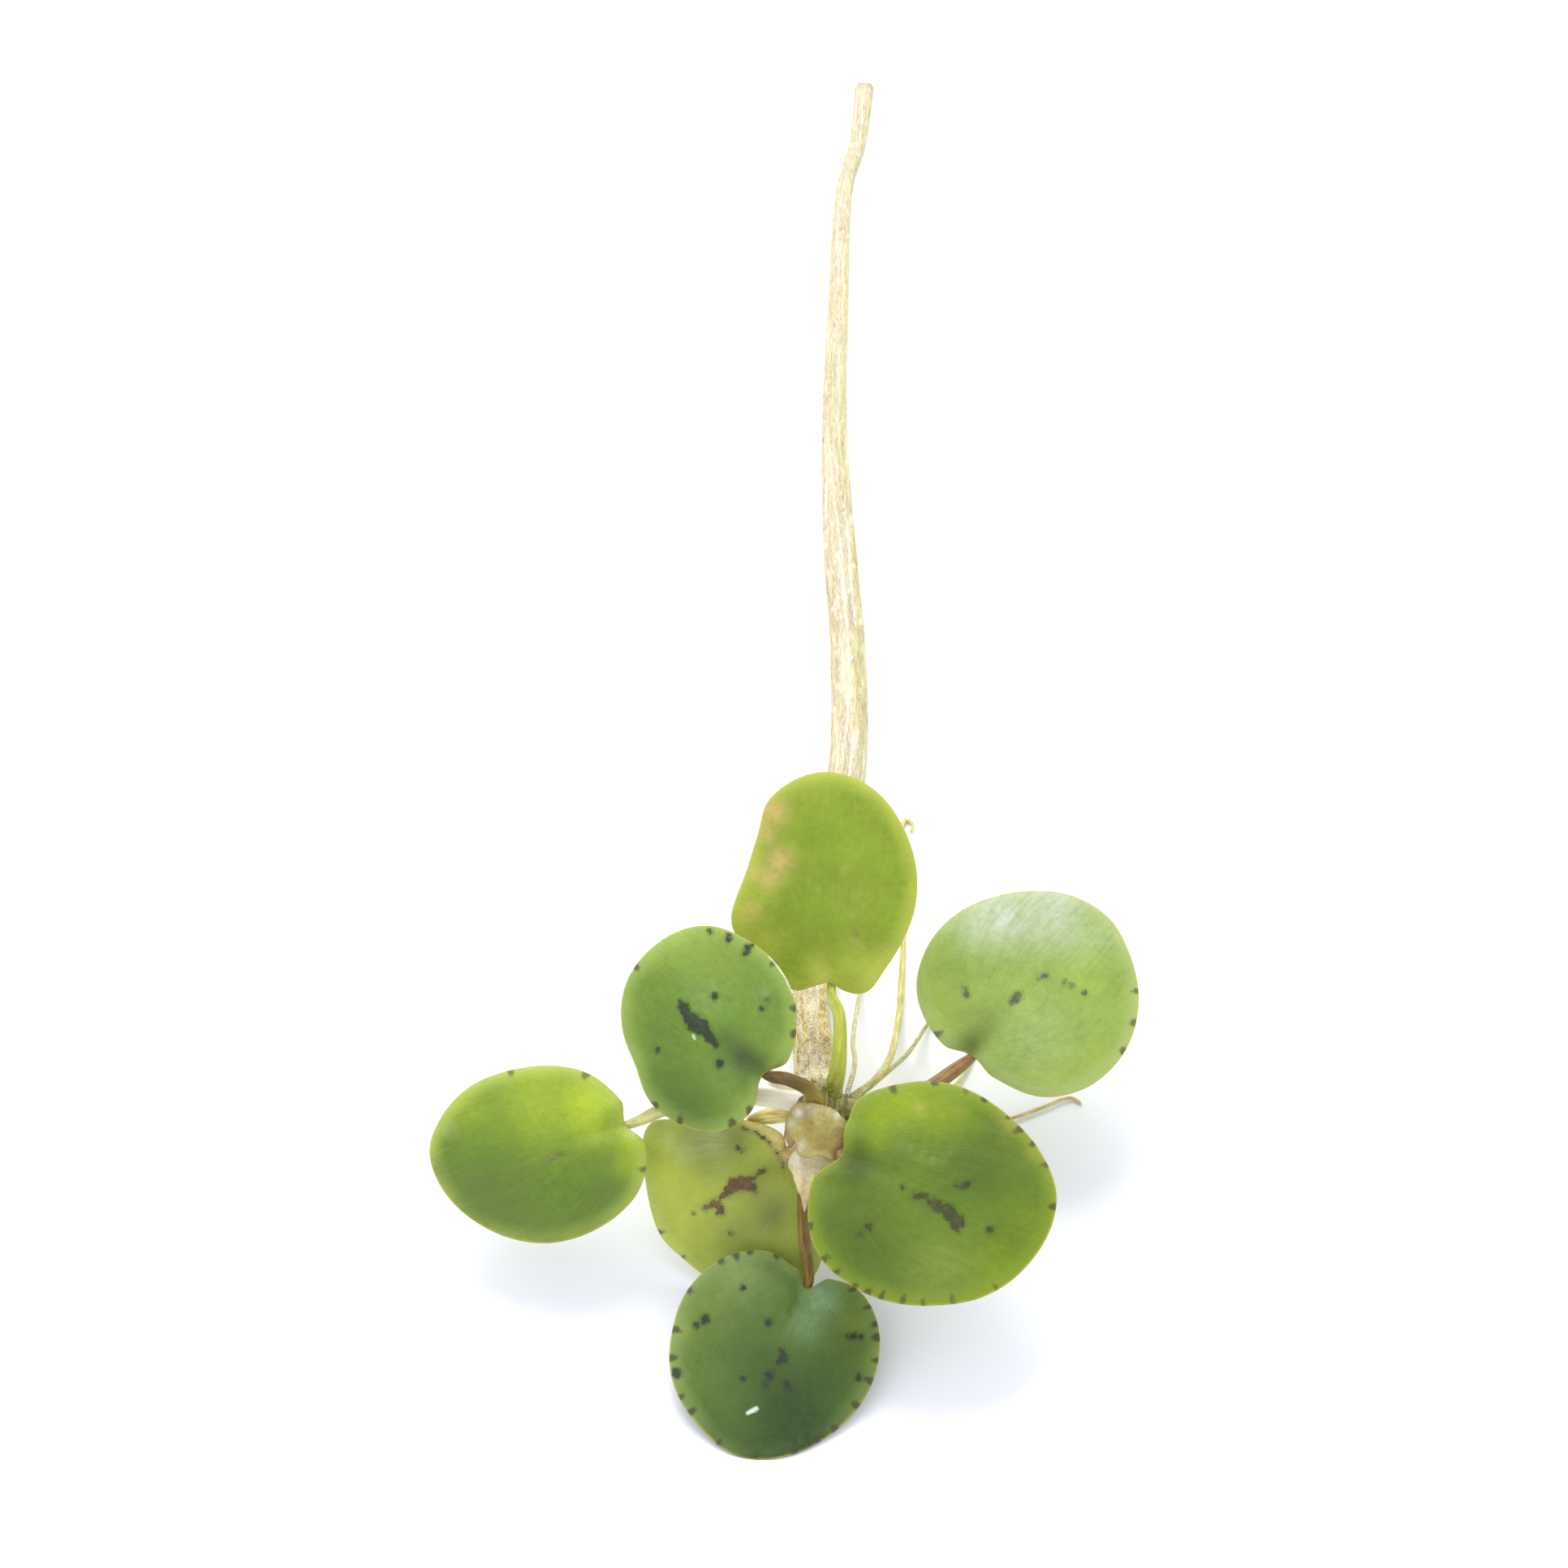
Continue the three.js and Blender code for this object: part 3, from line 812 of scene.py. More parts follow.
            (770, 962, 9, 0.35), (668, 940, 9, 0.3), (745, 1003, 10, 0.3), (724, 889, 14, 0.4),
            (755, 948, 12, 0.15),
        ),
        shading=(
            (744, 973, 10, 1.0), (754, 979, 8, 0.7), (712, 1006, 18, 0.5), (734, 960, 10, 0.45),
            (763, 960, 8, 0.25),
            (690, 985, 14, 0.35), (689, 957, 12, 0.25),
        ),
        hazing=((720, 932, 16, 0.22), (732, 985, 10, 0.15), (758, 930, 8, 0.2)),
        mark_colour=(0.027, 0.036, 0.02), foot_colour=(0.44, 0.33, 0.05), foot_reach=0.58,
        # Painted glints: a line along the rim, and a small one on the blade.
        flecks=(
            ((762, 904, 0.2), (768, 911, 0.6), (773, 918, 0.7), (778, 929, 0.2)),
            ((712, 957, 1), (713, 959, 1)),
        ),
    ),
    Leaf(
        name="lower_left", notch=(-3.3, -4.2, 15.2), heading=-171, climb=-25, bank=-46,
        centre=(10, 2.6), oval=(26, 18.5), turn=-76, cleft=2, dish=-1.4, ripple=0.2,
        stalk_radius=0.75, stalk=((-0.9, 0.2, 17.8), (-2.2, -2.6, 16.8)), arrival=(),
        slot="leaf_yellow_green", stalk_slot="stalk_green",
        # Its tones are its own pale yellow-green, raised to paint the light that shines through it.
        green=(0.4, 0.47, 0.065), shade=(0.15, 0.18, 0.05), glow=(0.48, 0.55, 0.085),
        sheen_and_pale=(0.6, 0.64, 0.34), stalk_colours=((0.26, 0.15, 0.04), (0.64, 0.5, 0.25)),
        rim=(
            (684, 1014), (698, 1013), (747, 1013), (757, 1015), (767, 1019), (774, 1024), (779, 1031),
            (680, 1052), (691, 1092), (707, 1107),
        ),
        blotches=(
            ((721, 1071, 4), (726, 1068, 4), (731, 1064, 3), (736, 1060, 6)),
            ((728, 1069, 3), (730, 1073, 6)),
            ((735, 1061, 6), (740, 1056, 10), (746, 1055, 9), (751, 1057, 6), (753, 1061, 3)),
            ((750, 1053, 3), (754, 1050, 2), (759, 1046, 3)),
            ((744, 1018, 1), (754, 1021, 1), (761, 1027, 1), (767, 1034, 1.2), (772, 1044, 1)),
        ),
        spots=((742, 1032, 3), (745, 1033, 3), (737, 1088, 3), (712, 1075, 2)),
        rim_marks=((706, 1104), (690, 1088)),
        glowing=((686, 1052, 14, 0.9), (708, 1048, 14, 0.3), (700, 1075, 14, 0.3)),
        shading=(
            (718, 1024, 17, 0.65), (740, 1026, 12, 0.6), (764, 1076, 15, 0.8), (776, 1104, 12, 0.35),
            (718, 1040, 12, 0.3),
            (742, 1090, 20, 0.5), (756, 1052, 20, 0.4), (730, 1048, 16, 0.3), (690, 1014, 8, 0.3),
        ),
        hazing=((707, 1034, 8, 0.25), (695, 1026, 8, 0.3), (724, 1025, 12, 0.4)),
        scorching=(
            (750, 1013, 4, 1.0), (758, 1014, 5, 1.0), (767, 1019, 7, 1.0), (774, 1025, 8, 1.0),
            (779, 1033, 8, 1.0),
        ),
        scorch_colour=(0.95, 0.68, 0.34), mark_colour=(0.11, 0.07, 0.035),
        foot_colour=(0.5, 0.4, 0.1), stalk_breadth=2.1,
    ),
    Leaf(
        name="far_left", notch=(-23.2, -0.2, 17.6), heading=-169, climb=-11, bank=-25,
        centre=(11.2, 0.9), oval=(27.5, 22.2), turn=-19, cleft=1.9, dish=-0.9, ripple=0.1,
        stalk_radius=0.85, stalk=((-0.6, 1.6, 19.2), (-8.5, 1.4, 21), (-17, 0.9, 19.8)),
        slot="leaf_yellow_green", stalk_slot="stalk_green",
        green=(0.112, 0.195, 0.02), shade=(0.105, 0.165, 0.036), glow=(0.37, 0.48, 0.03),
        sheen_and_pale=(0.64, 0.66, 0.34), stalk_colours=((0.4, 0.4, 0.1), (0.68, 0.64, 0.3)),
        rim=(
            (536, 1033), (545, 1010), (563, 991), (590, 980), (617, 977), (642, 982), (664, 1000),
            (681, 1040),
            (677, 1058), (657, 1080), (617, 1095), (588, 1091), (563, 1078), (543, 1056),
        ),
        blotches=(((612, 1040, 2), (617, 1038, 3), (624, 1035, 2)),),
        spots=((599, 1045, 2.5), (624, 1056, 2.5), (596, 1041, 2)),
        rim_marks=((640, 985), (591, 983), (680, 1046)),
        glowing=(
            (642, 1000, 20, 1.0), (605, 992, 26, 0.55), (560, 1005, 16, 0.4), (672, 1026, 10, 1.0),
            (668, 1042, 11, 0.5), (646, 1018, 15, 0.5),
            (608, 1018, 20, 0.25),
        ),
        shading=(
            (572, 1066, 24, 0.95), (657, 1060, 16, 0.5), (600, 1078, 18, 0.5), (543, 1048, 12, 0.55),
            (618, 1094, 20, 0.6), (645, 1084, 14, 0.5),
        ),
        hazing=((673, 1020, 4, 0.8), (550, 1020, 6, 0.15)),
        mark_colour=(0.12, 0.14, 0.035), foot_colour=(1.0, 0.93, 0.85), foot_reach=0.5,
    ),
)


def closed_reach(keys, angles):
    """How far a closed smooth outline is from its middle at each angle, from (angle, reach) keys."""
    keys = sorted((np.array(key) for key in keys), key=lambda key: key[0])
    turn = np.array((FULL_TURN, 0))
    chain = [keys[-2] - turn, keys[-1] - turn, *keys, keys[0] + turn, keys[1] + turn]
    line = np.vstack(curve_through(chain))
    return np.interp(angles, line[:, 0], line[:, 1])


def rim_stretch(leaf, angles):
    """How far the photograph's rim is outside the plain oval, as a factor for each angle."""
    long, short = leaf.oval
    keys = []
    for pixel in leaf.rim:
        angle, distance = polar(leaf.under_pixel(pixel))
        turned = angle - math.radians(leaf.turn)
        oval = 0.5 / math.hypot(math.cos(turned) / long, math.sin(turned) / short)
        keys.append((angle, distance / oval))
    return closed_reach(keys, angles)


def blade_outline(leaf):
    """The blade's edge: a circle drawn out to its oval, then stretched and notched as the real one is."""
    deselect_all()
    bpy.ops.mesh.primitive_circle_add(vertices=BLADE_POINTS, radius=0.5 * MM, fill_type="NOTHING")
    piece = bpy.context.object
    edit(piece)
    bpy.ops.transform.resize(value=(*leaf.oval, 1), center_override=(0, 0, 0))
    bpy.ops.transform.rotate(value=-math.radians(leaf.turn), orient_axis="Z", center_override=(0, 0, 0))
    close_edit()
    places = corner_places(piece)
    move_corners(piece, places * rim_stretch(leaf, polar(places)[0])[:, None])
    edit(piece)
    bpy.ops.transform.translate(value=Vector((*leaf.centre, leaf.dish)) * MM)
    bpy.ops.mesh.vertices_smooth(factor=0.5, repeat=RIM_SMOOTHING, zaxis=False)

    middle = Vector(leaf.centre) * MM
    notch_way = -middle.normalized()
    shape = bmesh.from_edit_mesh(piece.data)
    notch = max(shape.verts, key=lambda corner: (corner.co.to_2d() - middle).normalized().dot(notch_way))
    move = (*-notch.co.to_2d(), 0)
    select_corner(piece, notch.index)
    bpy.ops.transform.translate(
        value=move, use_proportional_edit=True, use_proportional_connected=True,
        proportional_edit_falloff="SMOOTH", proportional_size=NOTCH_SPREAD * leaf.cleft * MM,
    )
    close_edit()
    return piece


def rim_table(piece, leaf):
    """The rim's distance from the blade's middle, for each angle from the midrib."""
    angles, distances = polar(corner_places(piece)[:, :2] / MM - leaf.centre)
    order = np.argsort(angles)
    return angles[order], distances[order]


def relief(leaf, x, y, reach, angle):
    """How far the blade's skin is lifted by its waves, its small unevenness and its midrib."""
    waves = leaf.ripple * math.sin(RIM_WAVES * angle) * reach ** 4
    seed = leaf.heading
    broad = noise.noise((x * BROAD_SCALE + seed, y * BROAD_SCALE, 3.7)) * BROAD_HEIGHT
    fine = noise.noise((x * FINE_SCALE, y * FINE_SCALE + seed, 8.1)) * FINE_HEIGHT
    midrib = leaf.centre[1] * min(1, x / leaf.centre[0])
    rib = -RIB_DEPTH * bell(y - midrib, 0.8 + 0.08 * x) * math.exp(-max(0, x - 1) / RIB_LENGTH)
    shoulder = SHOULDER_HEIGHT * bell(abs(y) - 2.3, 1.6) * bell(x - 1, 2.2)
    return waves + broad * (0.3 + 0.7 * reach) + fine + rib + shoulder


def distance_to_line(places, line):
    """How far each place is outside a line of (x, y, width) points."""
    nearest = np.full(len(places), FAR)
    for (ax, ay, wide), (bx, by, narrow) in zip(line, line[1:]):
        start, way = np.array((ax, ay)), np.array((bx - ax, by - ay))
        share = np.clip((places - start) @ way / max(way @ way, 1e-9), 0, 1)
        gap = np.linalg.norm(places - start - share[:, None] * way, axis=1)
        nearest = np.minimum(nearest, gap - (wide + (narrow - wide) * share) / 2)
    return nearest


def mark_edge(piece, leaf, flat, angles, rims, from_rim):
    """Keeps where each corner of a flat blade is, and how far it is from the rim and its dashes."""
    normals = np.empty(len(flat) * 3)
    piece.data.vertices.foreach_get("normal", normals)
    keep_value(piece, "upper", np.clip(normals[2::3] * 2 + 0.5, 0, 1))
    keep_value(piece, "from_rim", np.maximum(from_rim, 0))
    keep_vector(piece, "leaf_place", np.column_stack([flat, np.zeros(len(flat))]))

    dice = random.Random(leaf.name)
    inwards = np.maximum(from_rim - DASH_START, 0)
    dashes = np.full(len(flat), FAR)
    for pixel in leaf.rim_marks:
        turn = angles - polar(leaf.under_pixel(pixel))[0]
        beside = np.abs(np.arctan2(np.sin(turn), np.cos(turn))) * rims
        width, length = dice.uniform(*DASH_WIDTHS), dice.uniform(*DASH_LENGTHS)
        dashes = np.minimum(dashes, (np.hypot(beside / width, inwards / length) - 1) * width)
    keep_value(piece, "dash", dashes)


def mark_blade(piece, leaf):
    """Keeps how far each corner of a placed blade is from the dark marks, and its soft zones."""
    pixels = photo_pixels(piece)
    spots = [np.linalg.norm(pixels - spot[:2], axis=1) - spot[2] / 2 for spot in leaf.spots]
    blotches = [distance_to_line(pixels, blotch) for blotch in leaf.blotches]
    flecks = [distance_to_line(pixels, fleck) for fleck in leaf.flecks]
    nowhere = np.full(len(pixels), FAR)
    keep_value(piece, "mark", np.min([nowhere, *spots, *blotches], axis=0) / PIXELS_PER_MM)
    # The flecks are painted glints, and one pale chip on the front blade.
    keep_value(piece, "fleck", np.min([nowhere, *flecks], axis=0))
    # Zones of painted light, painted shade, painted sheen with a few pale marks, and the blade's own
    # scorch.
    for zone in ("glowing", "shading", "hazing", "scorching"):
        keep_patches(piece, pixels, zone, getattr(leaf, zone))


def add_blade(leaf):
    """A leaf's blade: its edge, drawn in to the middle of its upper and its under side."""
    piece = blade_outline(leaf)
    rim = rim_table(piece, leaf)
    reaches = [math.cos(step / BLADE_RINGS * math.pi / 2) for step in range(BLADE_RINGS)]
    middle = Vector((*leaf.centre, 0)) * MM
    edit(piece)
    fill_inwards(reaches, middle, leaf.top_height)
    bpy.ops.mesh.select_all(action="DESELECT")
    bpy.ops.mesh.select_mode(type="EDGE")
    bpy.ops.mesh.select_non_manifold(extend=False)
    fill_inwards(reaches, middle, leaf.underside_height)
    close_edit()
    smooth_outwards(piece)

    places = corner_places(piece)
    flat = places[:, :2] / MM
    angles, distances = polar(flat - leaf.centre)
    rims = np.interp(angles, *rim, period=FULL_TURN)
    for place, (x, y), angle, reach in zip(places, flat, angles, np.minimum(distances / rims, 1)):
        place[2] += relief(leaf, x, y, reach, angle) * MM
    move_corners(piece, places)
    mark_edge(piece, leaf, flat, angles, rims, rims - distances)

    settle(piece, leaf.frame())
    move_corners(piece, rest_on_surface(keep_inside(corner_places(piece))))
    mark_blade(piece, leaf)
    return dress(piece, f"blade_{leaf.name}", f"leaf_{leaf.name}", leaf_finish(leaf))


DASH_BROWN = (0.085, 0.05, 0.018)
# The pale of painted glints and of one pale chip.
FLECK_AND_GLINT_PALE = (0.8, 0.86, 0.74)
RIM_TAN = (0.42, 0.33, 0.1)
SPONGE_PALE = (0.42, 0.5, 0.2)


def vein_place(skin, where, leaf):
    """Where a point is across and along the veins, which arch from the notch past the leaf's tip."""
    tip = (leaf.centre[0] * 3.4, leaf.centre[1] * 2, 0)
    to_tip = skin.add("ShaderNodeVectorMath", {0: tip, 1: where}, operation="SUBTRACT")
    turn = skin.add("ShaderNodeVectorMath", {0: where, 1: to_tip}, operation="CROSS_PRODUCT")
    across = skin.add("ShaderNodeSeparateXYZ", {0: turn}, output=2)
    ahead = skin.add("ShaderNodeVectorMath", {0: where, 1: to_tip}, output=1, operation="DOT_PRODUCT")
    along = skin.add("ShaderNodeVectorMath", {0: where}, output=1, operation="LENGTH")
    return skin.calculate("ARCTAN2", across, ahead), along


def leaf_finish(leaf):
    """Leaf skin: smooth green with painted glow, shade and sheen in soft zones, faint vein streaks, dark
    marks, pale flecks with painted glints, and a thin rim.
    """
    skin = Finish(
        f"leaf_skin_{leaf.name}", subsurface_weight=0.2, subsurface_scale=0.0012,
        subsurface_radius=(0.9, 1.0, 0.35), specular_ior_level=0.22,
    )
    where = skin.vector("leaf_place")
    from_rim = skin.value("from_rim")
    upper = skin.value("upper")
    mark = skin.value("mark")
    clouds = skin.noise(where, 0.17, 2, 0.5, 0.3)
    mottle = skin.noise(where, 0.9, 4, 0.6)
    grain = skin.noise(where, 6.0, 3, 0.6)
    tone = skin.sum(skin.times(clouds, 0.45), skin.times(mottle, 0.33), skin.times(grain, 0.22))
    lighter = toned(leaf.green, 1.14)
    colour = skin.ramp(tone, (0.38, toned(leaf.green, 0.84)), (0.5, leaf.green), (0.62, lighter))
    stray = skin.stray(mottle)

    def zone(name, unevenness=0.6):
        """A zone's strength, made a little uneven."""
        return skin.times(skin.value(name), skin.line(stray, unevenness, 1.0))

    # Painted light: the glow of light that shines through the blade, in its glowing zones.
    colour = skin.mix(colour, leaf.glow, zone("glowing"))
    # Painted light: a band of glow inside the rim, where the thin edge lets the light through.
    painted_edge_glow = tuple(0.75 * glow + 0.25 * sheen_and_pale for glow, sheen_and_pale in zip(leaf.glow, leaf.sheen_and_pale))
    colour = skin.mix(colour, painted_edge_glow, skin.rise(from_rim, 2.4, 0.2), 0.6)
    # Painted shade, in the shading zones.
    colour = skin.mix(colour, leaf.shade, zone("shading"))
    bow, along = vein_place(skin, where, leaf)
    streak_place = {0: skin.times(bow, 21.0), 1: skin.times(along, 0.14)}
    streaks = skin.noise(skin.add("ShaderNodeCombineXYZ", streak_place), 1.0, 4, 0.62)
    # Painted sheen, streaked along the veins, over the sheen zones, which also hold a few pale marks.
    sheen_and_pale = skin.line(skin.rise(streaks, 0.35, 0.65), 0.38, 0.62)
    colour = skin.mix(colour, leaf.sheen_and_pale, zone("hazing", 1.5), sheen_and_pale)
    colour = skin.mix(colour, leaf.glow, skin.rise(streaks, 0.5, 0.68), 0.6 * leaf.streaking)
    colour = skin.mix(colour, leaf.shade, skin.rise(streaks, 0.5, 0.34), 0.5 * leaf.streaking)

    wander = skin.stray(skin.noise(where, 0.35, 2))
    vein_gap = skin.calculate("PINGPONG", skin.line(wander, 0.12, bow), 0.19)
    colour = skin.mix(colour, leaf.glow, skin.rise(vein_gap, 0.02, 0.0), 0.3 * leaf.streaking)
    cell_edges = skin.cell_edges(where, 1.5, 0.1, 0.0)
    colour = skin.mix(colour, leaf.shade, cell_edges, 0.05)
    colour = skin.mix(colour, leaf.sheen_and_pale, skin.patches(where, 3.6, 0.74, 0.79, 2, 0.5), 0.35)

    ragged = skin.times(skin.stray(skin.noise(where, 1.25, 3, 0.6)), 1.6)
    blotch = skin.rise(skin.sum(mark, ragged), 0.14, -0.14)
    dash = skin.rise(skin.line(ragged, 0.45, skin.value("dash")), 0.2, -0.24)
    halo = skin.rise(skin.line(ragged, 0.6, mark), 0.6, -0.1)
    colour = skin.mix(colour, leaf.shade, halo, 0.55)
    scorch_spread = skin.patches(where, 1.3, 0.15, 0.6, 4, 0.65)
    colour = skin.mix(colour, leaf.scorch_colour, skin.value("scorching"), scorch_spread)
    rim_line = skin.rise(skin.line(stray, 0.35, from_rim), 0.3, 0.08)
    rim_stretches = skin.patches(where, 0.22, 0.35, 0.62, 2, 0.5)
    colour = skin.mix(colour, RIM_TAN, rim_line, skin.line(rim_stretches, 0.45, 0.2))
    blotch_tone = toned(leaf.mark_colour, 1.5)
    blotch_tone = skin.mix(leaf.mark_colour, blotch_tone, skin.rise(mottle, 0.45, 0.65))
    colour = skin.mix(colour, blotch_tone, blotch, upper, 0.93)
    colour = skin.mix(colour, skin.mix(leaf.mark_colour, DASH_BROWN, 0.5), dash, 0.82)
    # Painted glints, and one pale chip, along the flecks on the upper side.
    fleck = skin.rise(skin.value("fleck"), 1.2, -0.4)
    colour = skin.mix(colour, FLECK_AND_GLINT_PALE, fleck, skin.rise(grain, 0.3, 0.5), upper, 0.8)

    sponge = skin.mix(lighter, SPONGE_PALE, skin.patches(where, 0.5, 0.3, 0.7))
    sponge = skin.mix(sponge, leaf.green, cell_edges, 0.5)
    beneath = skin.rise(upper, 0.5, 0.1)
    colour = skin.mix(colour, sponge, beneath, skin.line(skin.rise(from_rim, 1.2, 5.0), 0.6, 0.25))

    roughness = skin.sum(skin.line(mottle, 0.25, 0.33), skin.times(blotch, 0.15))
    lumps = skin.bump(skin.noise(where, 1.2, 4, 0.6), 0.09)
    lumps = skin.bump(streaks, 0.05, lumps)
    lumps = skin.bump(skin.times(cell_edges, skin.sum(beneath, 0.2)), -0.05, lumps)
    lumps = skin.bump(skin.noise(where, 9.0, 2), 0.015, lumps)
    return skin.done(colour, roughness, lumps)


# Stalks.

STALK_SIDES = 36
STALK_STEPS = 56
STALK_BASE_FLARE = 0.35
STALK_END_TAPER = 0.95
STALK_RIBS = 9
STALK_SPREAD = 0.35
STALK_NECK = 0.7
STALK_TIP = 0.03
STALK_REACH = 2.2
STALK_UNDER_NOTCH = 1.05
STALK_UNDER_BLADE = 0.7
STALK_DIRT = (0.09, 0.1, 0.02)


def stalk_finish(leaf):
    """Stalk skin: fine lengthwise streaks between its two colours, glossy and slightly ribbed."""
    skin = Finish(
        f"stalk_skin_{leaf.name}", subsurface_weight=0.2, subsurface_scale=0.001,
        subsurface_radius=(1.0, 0.9, 0.6), specular_ior_level=0.22, coat_weight=0.04, coat_roughness=0.2,
    )
    dark, pale = leaf.stalk_colours
    where = skin.vector("straight")
    share = skin.value("share")
    streaks = skin.noise(where, (3.2, 3.2, 0.22), 4, 0.65)
    tone = skin.sum(skin.times(streaks, 0.7), skin.times(skin.noise(where, 0.4), 0.3))
    colour = skin.ramp(tone, (0.36, dark), (0.62, pale))
    colour = skin.mix(colour, toned(dark, 0.4), skin.patches(where, 2.8, 0.66, 0.74, 3, 0.6), 0.6)
    foot = skin.rise(share, leaf.foot_reach, 0.02)
    colour = skin.mix(colour, leaf.foot_colour, foot, skin.line(streaks, 0.5, 0.72))
    dirt = skin.patches(where, 1.7, 0.47, 0.6, 4, 0.7)
    colour = skin.mix(colour, STALK_DIRT, skin.rise(share, 0.3, 0.06), dirt, leaf.foot_dirt)
    colour = skin.mix(colour, leaf.green, skin.rise(share, 0.9, 1.0), 0.45)
    return skin.done(colour, skin.line(streaks, 0.25, 0.25), skin.bump(streaks, 0.16))


def stalk_arrival(leaf):
    """The stalk's last points, in the leaf's own frame: up to the notch and on inside the blade."""
    inside = 1 - STALK_REACH / leaf.centre[0]
    middle = (leaf.top_height(inside) + leaf.underside_height(inside)) / 2
    notch = (0, 0, leaf.dish - STALK_UNDER_NOTCH)
    return (*leaf.arrival, notch, (STALK_REACH, 0, middle - STALK_UNDER_BLADE))


def add_stalk(leaf):
    """A leaf's stalk: ribbed, thicker at its foot, running into the underside of its blade."""
    here = leaf.frame()
    ends = [(here @ (Vector(point) * MM) - START) / MM for point in stalk_arrival(leaf)]

    def section(share, angle):
        radius = leaf.stalk_radius * (STALK_END_TAPER + STALK_BASE_FLARE * (1 - share) ** 2)
        ribs = 1.04 - 0.035 * (1 + np.cos(STALK_RIBS * angle)) - 0.02 * np.sin(3 * angle + 9 * share)
        neck = 1 - 0.55 * np.clip((share - STALK_NECK) / (1 - STALK_NECK), 0, 1) ** 1.5
        radius = radius * ribs * neck * rounded_tip(share, STALK_TIP)
        broad = 1 + STALK_SPREAD * np.clip(1 - share / 0.55, 0, 1) ** 1.5
        return radius * broad * leaf.stalk_breadth, radius

    piece = rolled_tube(Route([*leaf.stalk, *ends]), STALK_SIDES, STALK_STEPS, section)
    return dress(piece, f"petiole_{leaf.name}", f"stalk_{leaf.name}", stalk_finish(leaf))


# The long root bundle. Its depths run from 0 on its middle line to 1 on its skin.

BUNDLE_ROUTE = (
    (0.4, 5.4, 16.2), (-0.6, 15.7, 10.4), (-1.5, 28, 4.2), (-0.4, 39, 1.5), (1, 54, 1.1),
    (2.3, 70, 1.1), (1.7, 88.5, 1.1), (0.7, 100, 1.1), (-0.6, 123.5, 0.8), (-0.5, 147.5, 0.65),
    (0, 169.5, 0.55), (1.4, 176, 0.55), (2.3, 187.5, 0.6),
)
BUNDLE_WIDTHS = (6.4, 5.6, 5.2, 5.2, 5.2, 5.2, 5, 4.9, 3.6, 2.9, 2.4, 2.4, 2.8)
BUNDLE_FLATNESS = 0.66
BUNDLE_GROOVES = 5
BUNDLE_GROOVE_DEPTH = 0.13
BUNDLE_TWISTS = 1.5
BUNDLE_PLAIN_WIDTH = 5.2

TAN_CREAM = (0.75, 0.67, 0.44)
PINK_CREAM = (0.79, 0.72, 0.57)
OLIVE_YELLOW = (0.74, 0.7, 0.42)
NEAR_CREAM = (0.62, 0.53, 0.23)
FAR_OLIVE = (0.5, 0.45, 0.1)
# The white of painted glints.
GLINT_WHITE = (1.0, 0.96, 0.9)
ROOT_TAN = (0.68, 0.56, 0.3)
ROOT_BROWN = (0.42, 0.25, 0.08)

bundle = Route(BUNDLE_ROUTE)


def bundle_width(share):
    return np.interp(share, bundle.point_shares, BUNDLE_WIDTHS)


def bundle_reach(share, angle):
    """How far the bundle's skin is from its middle line, sideways and upwards."""
    twist = BUNDLE_TWISTS * FULL_TURN * share
    groove = 1 - BUNDLE_GROOVE_DEPTH * (1 - np.cos(BUNDLE_GROOVES * angle + twist)) / 2
    reach = bundle_width(share) / 2 * groove
    return reach, reach * BUNDLE_FLATNESS


def bundle_points(share, angle, depth, rest):
    """Points in the bundle, at their depths. None is below rest."""
    side_reach, up_reach = bundle_reach(share, angle)
    return bundle.around(share, angle, side_reach * depth, up_reach * depth, rest)


def mark_bundle(piece):
    """Keeps where each corner lies across the bundle, from -1 to 1, and how far from the crown."""
    places = (corner_places(piece) - np.array(START)) / MM
    share = np.interp(places[:, 1], bundle.line[:, 1], bundle.shares)
    across = (places[:, 0] - bundle.at(share)[:, 0]) / (bundle_width(share) / 2)
    keep_value(piece, "across", np.clip(across, -1, 1))
    keep_value(piece, "from_crown", share * bundle.length)


def dress_bundle(piece, part, finish):
    """Puts a finished part of the bundle in the bundle's place."""
    return dress(piece, f"root_bundle_{part}", "root_bundle", finish)


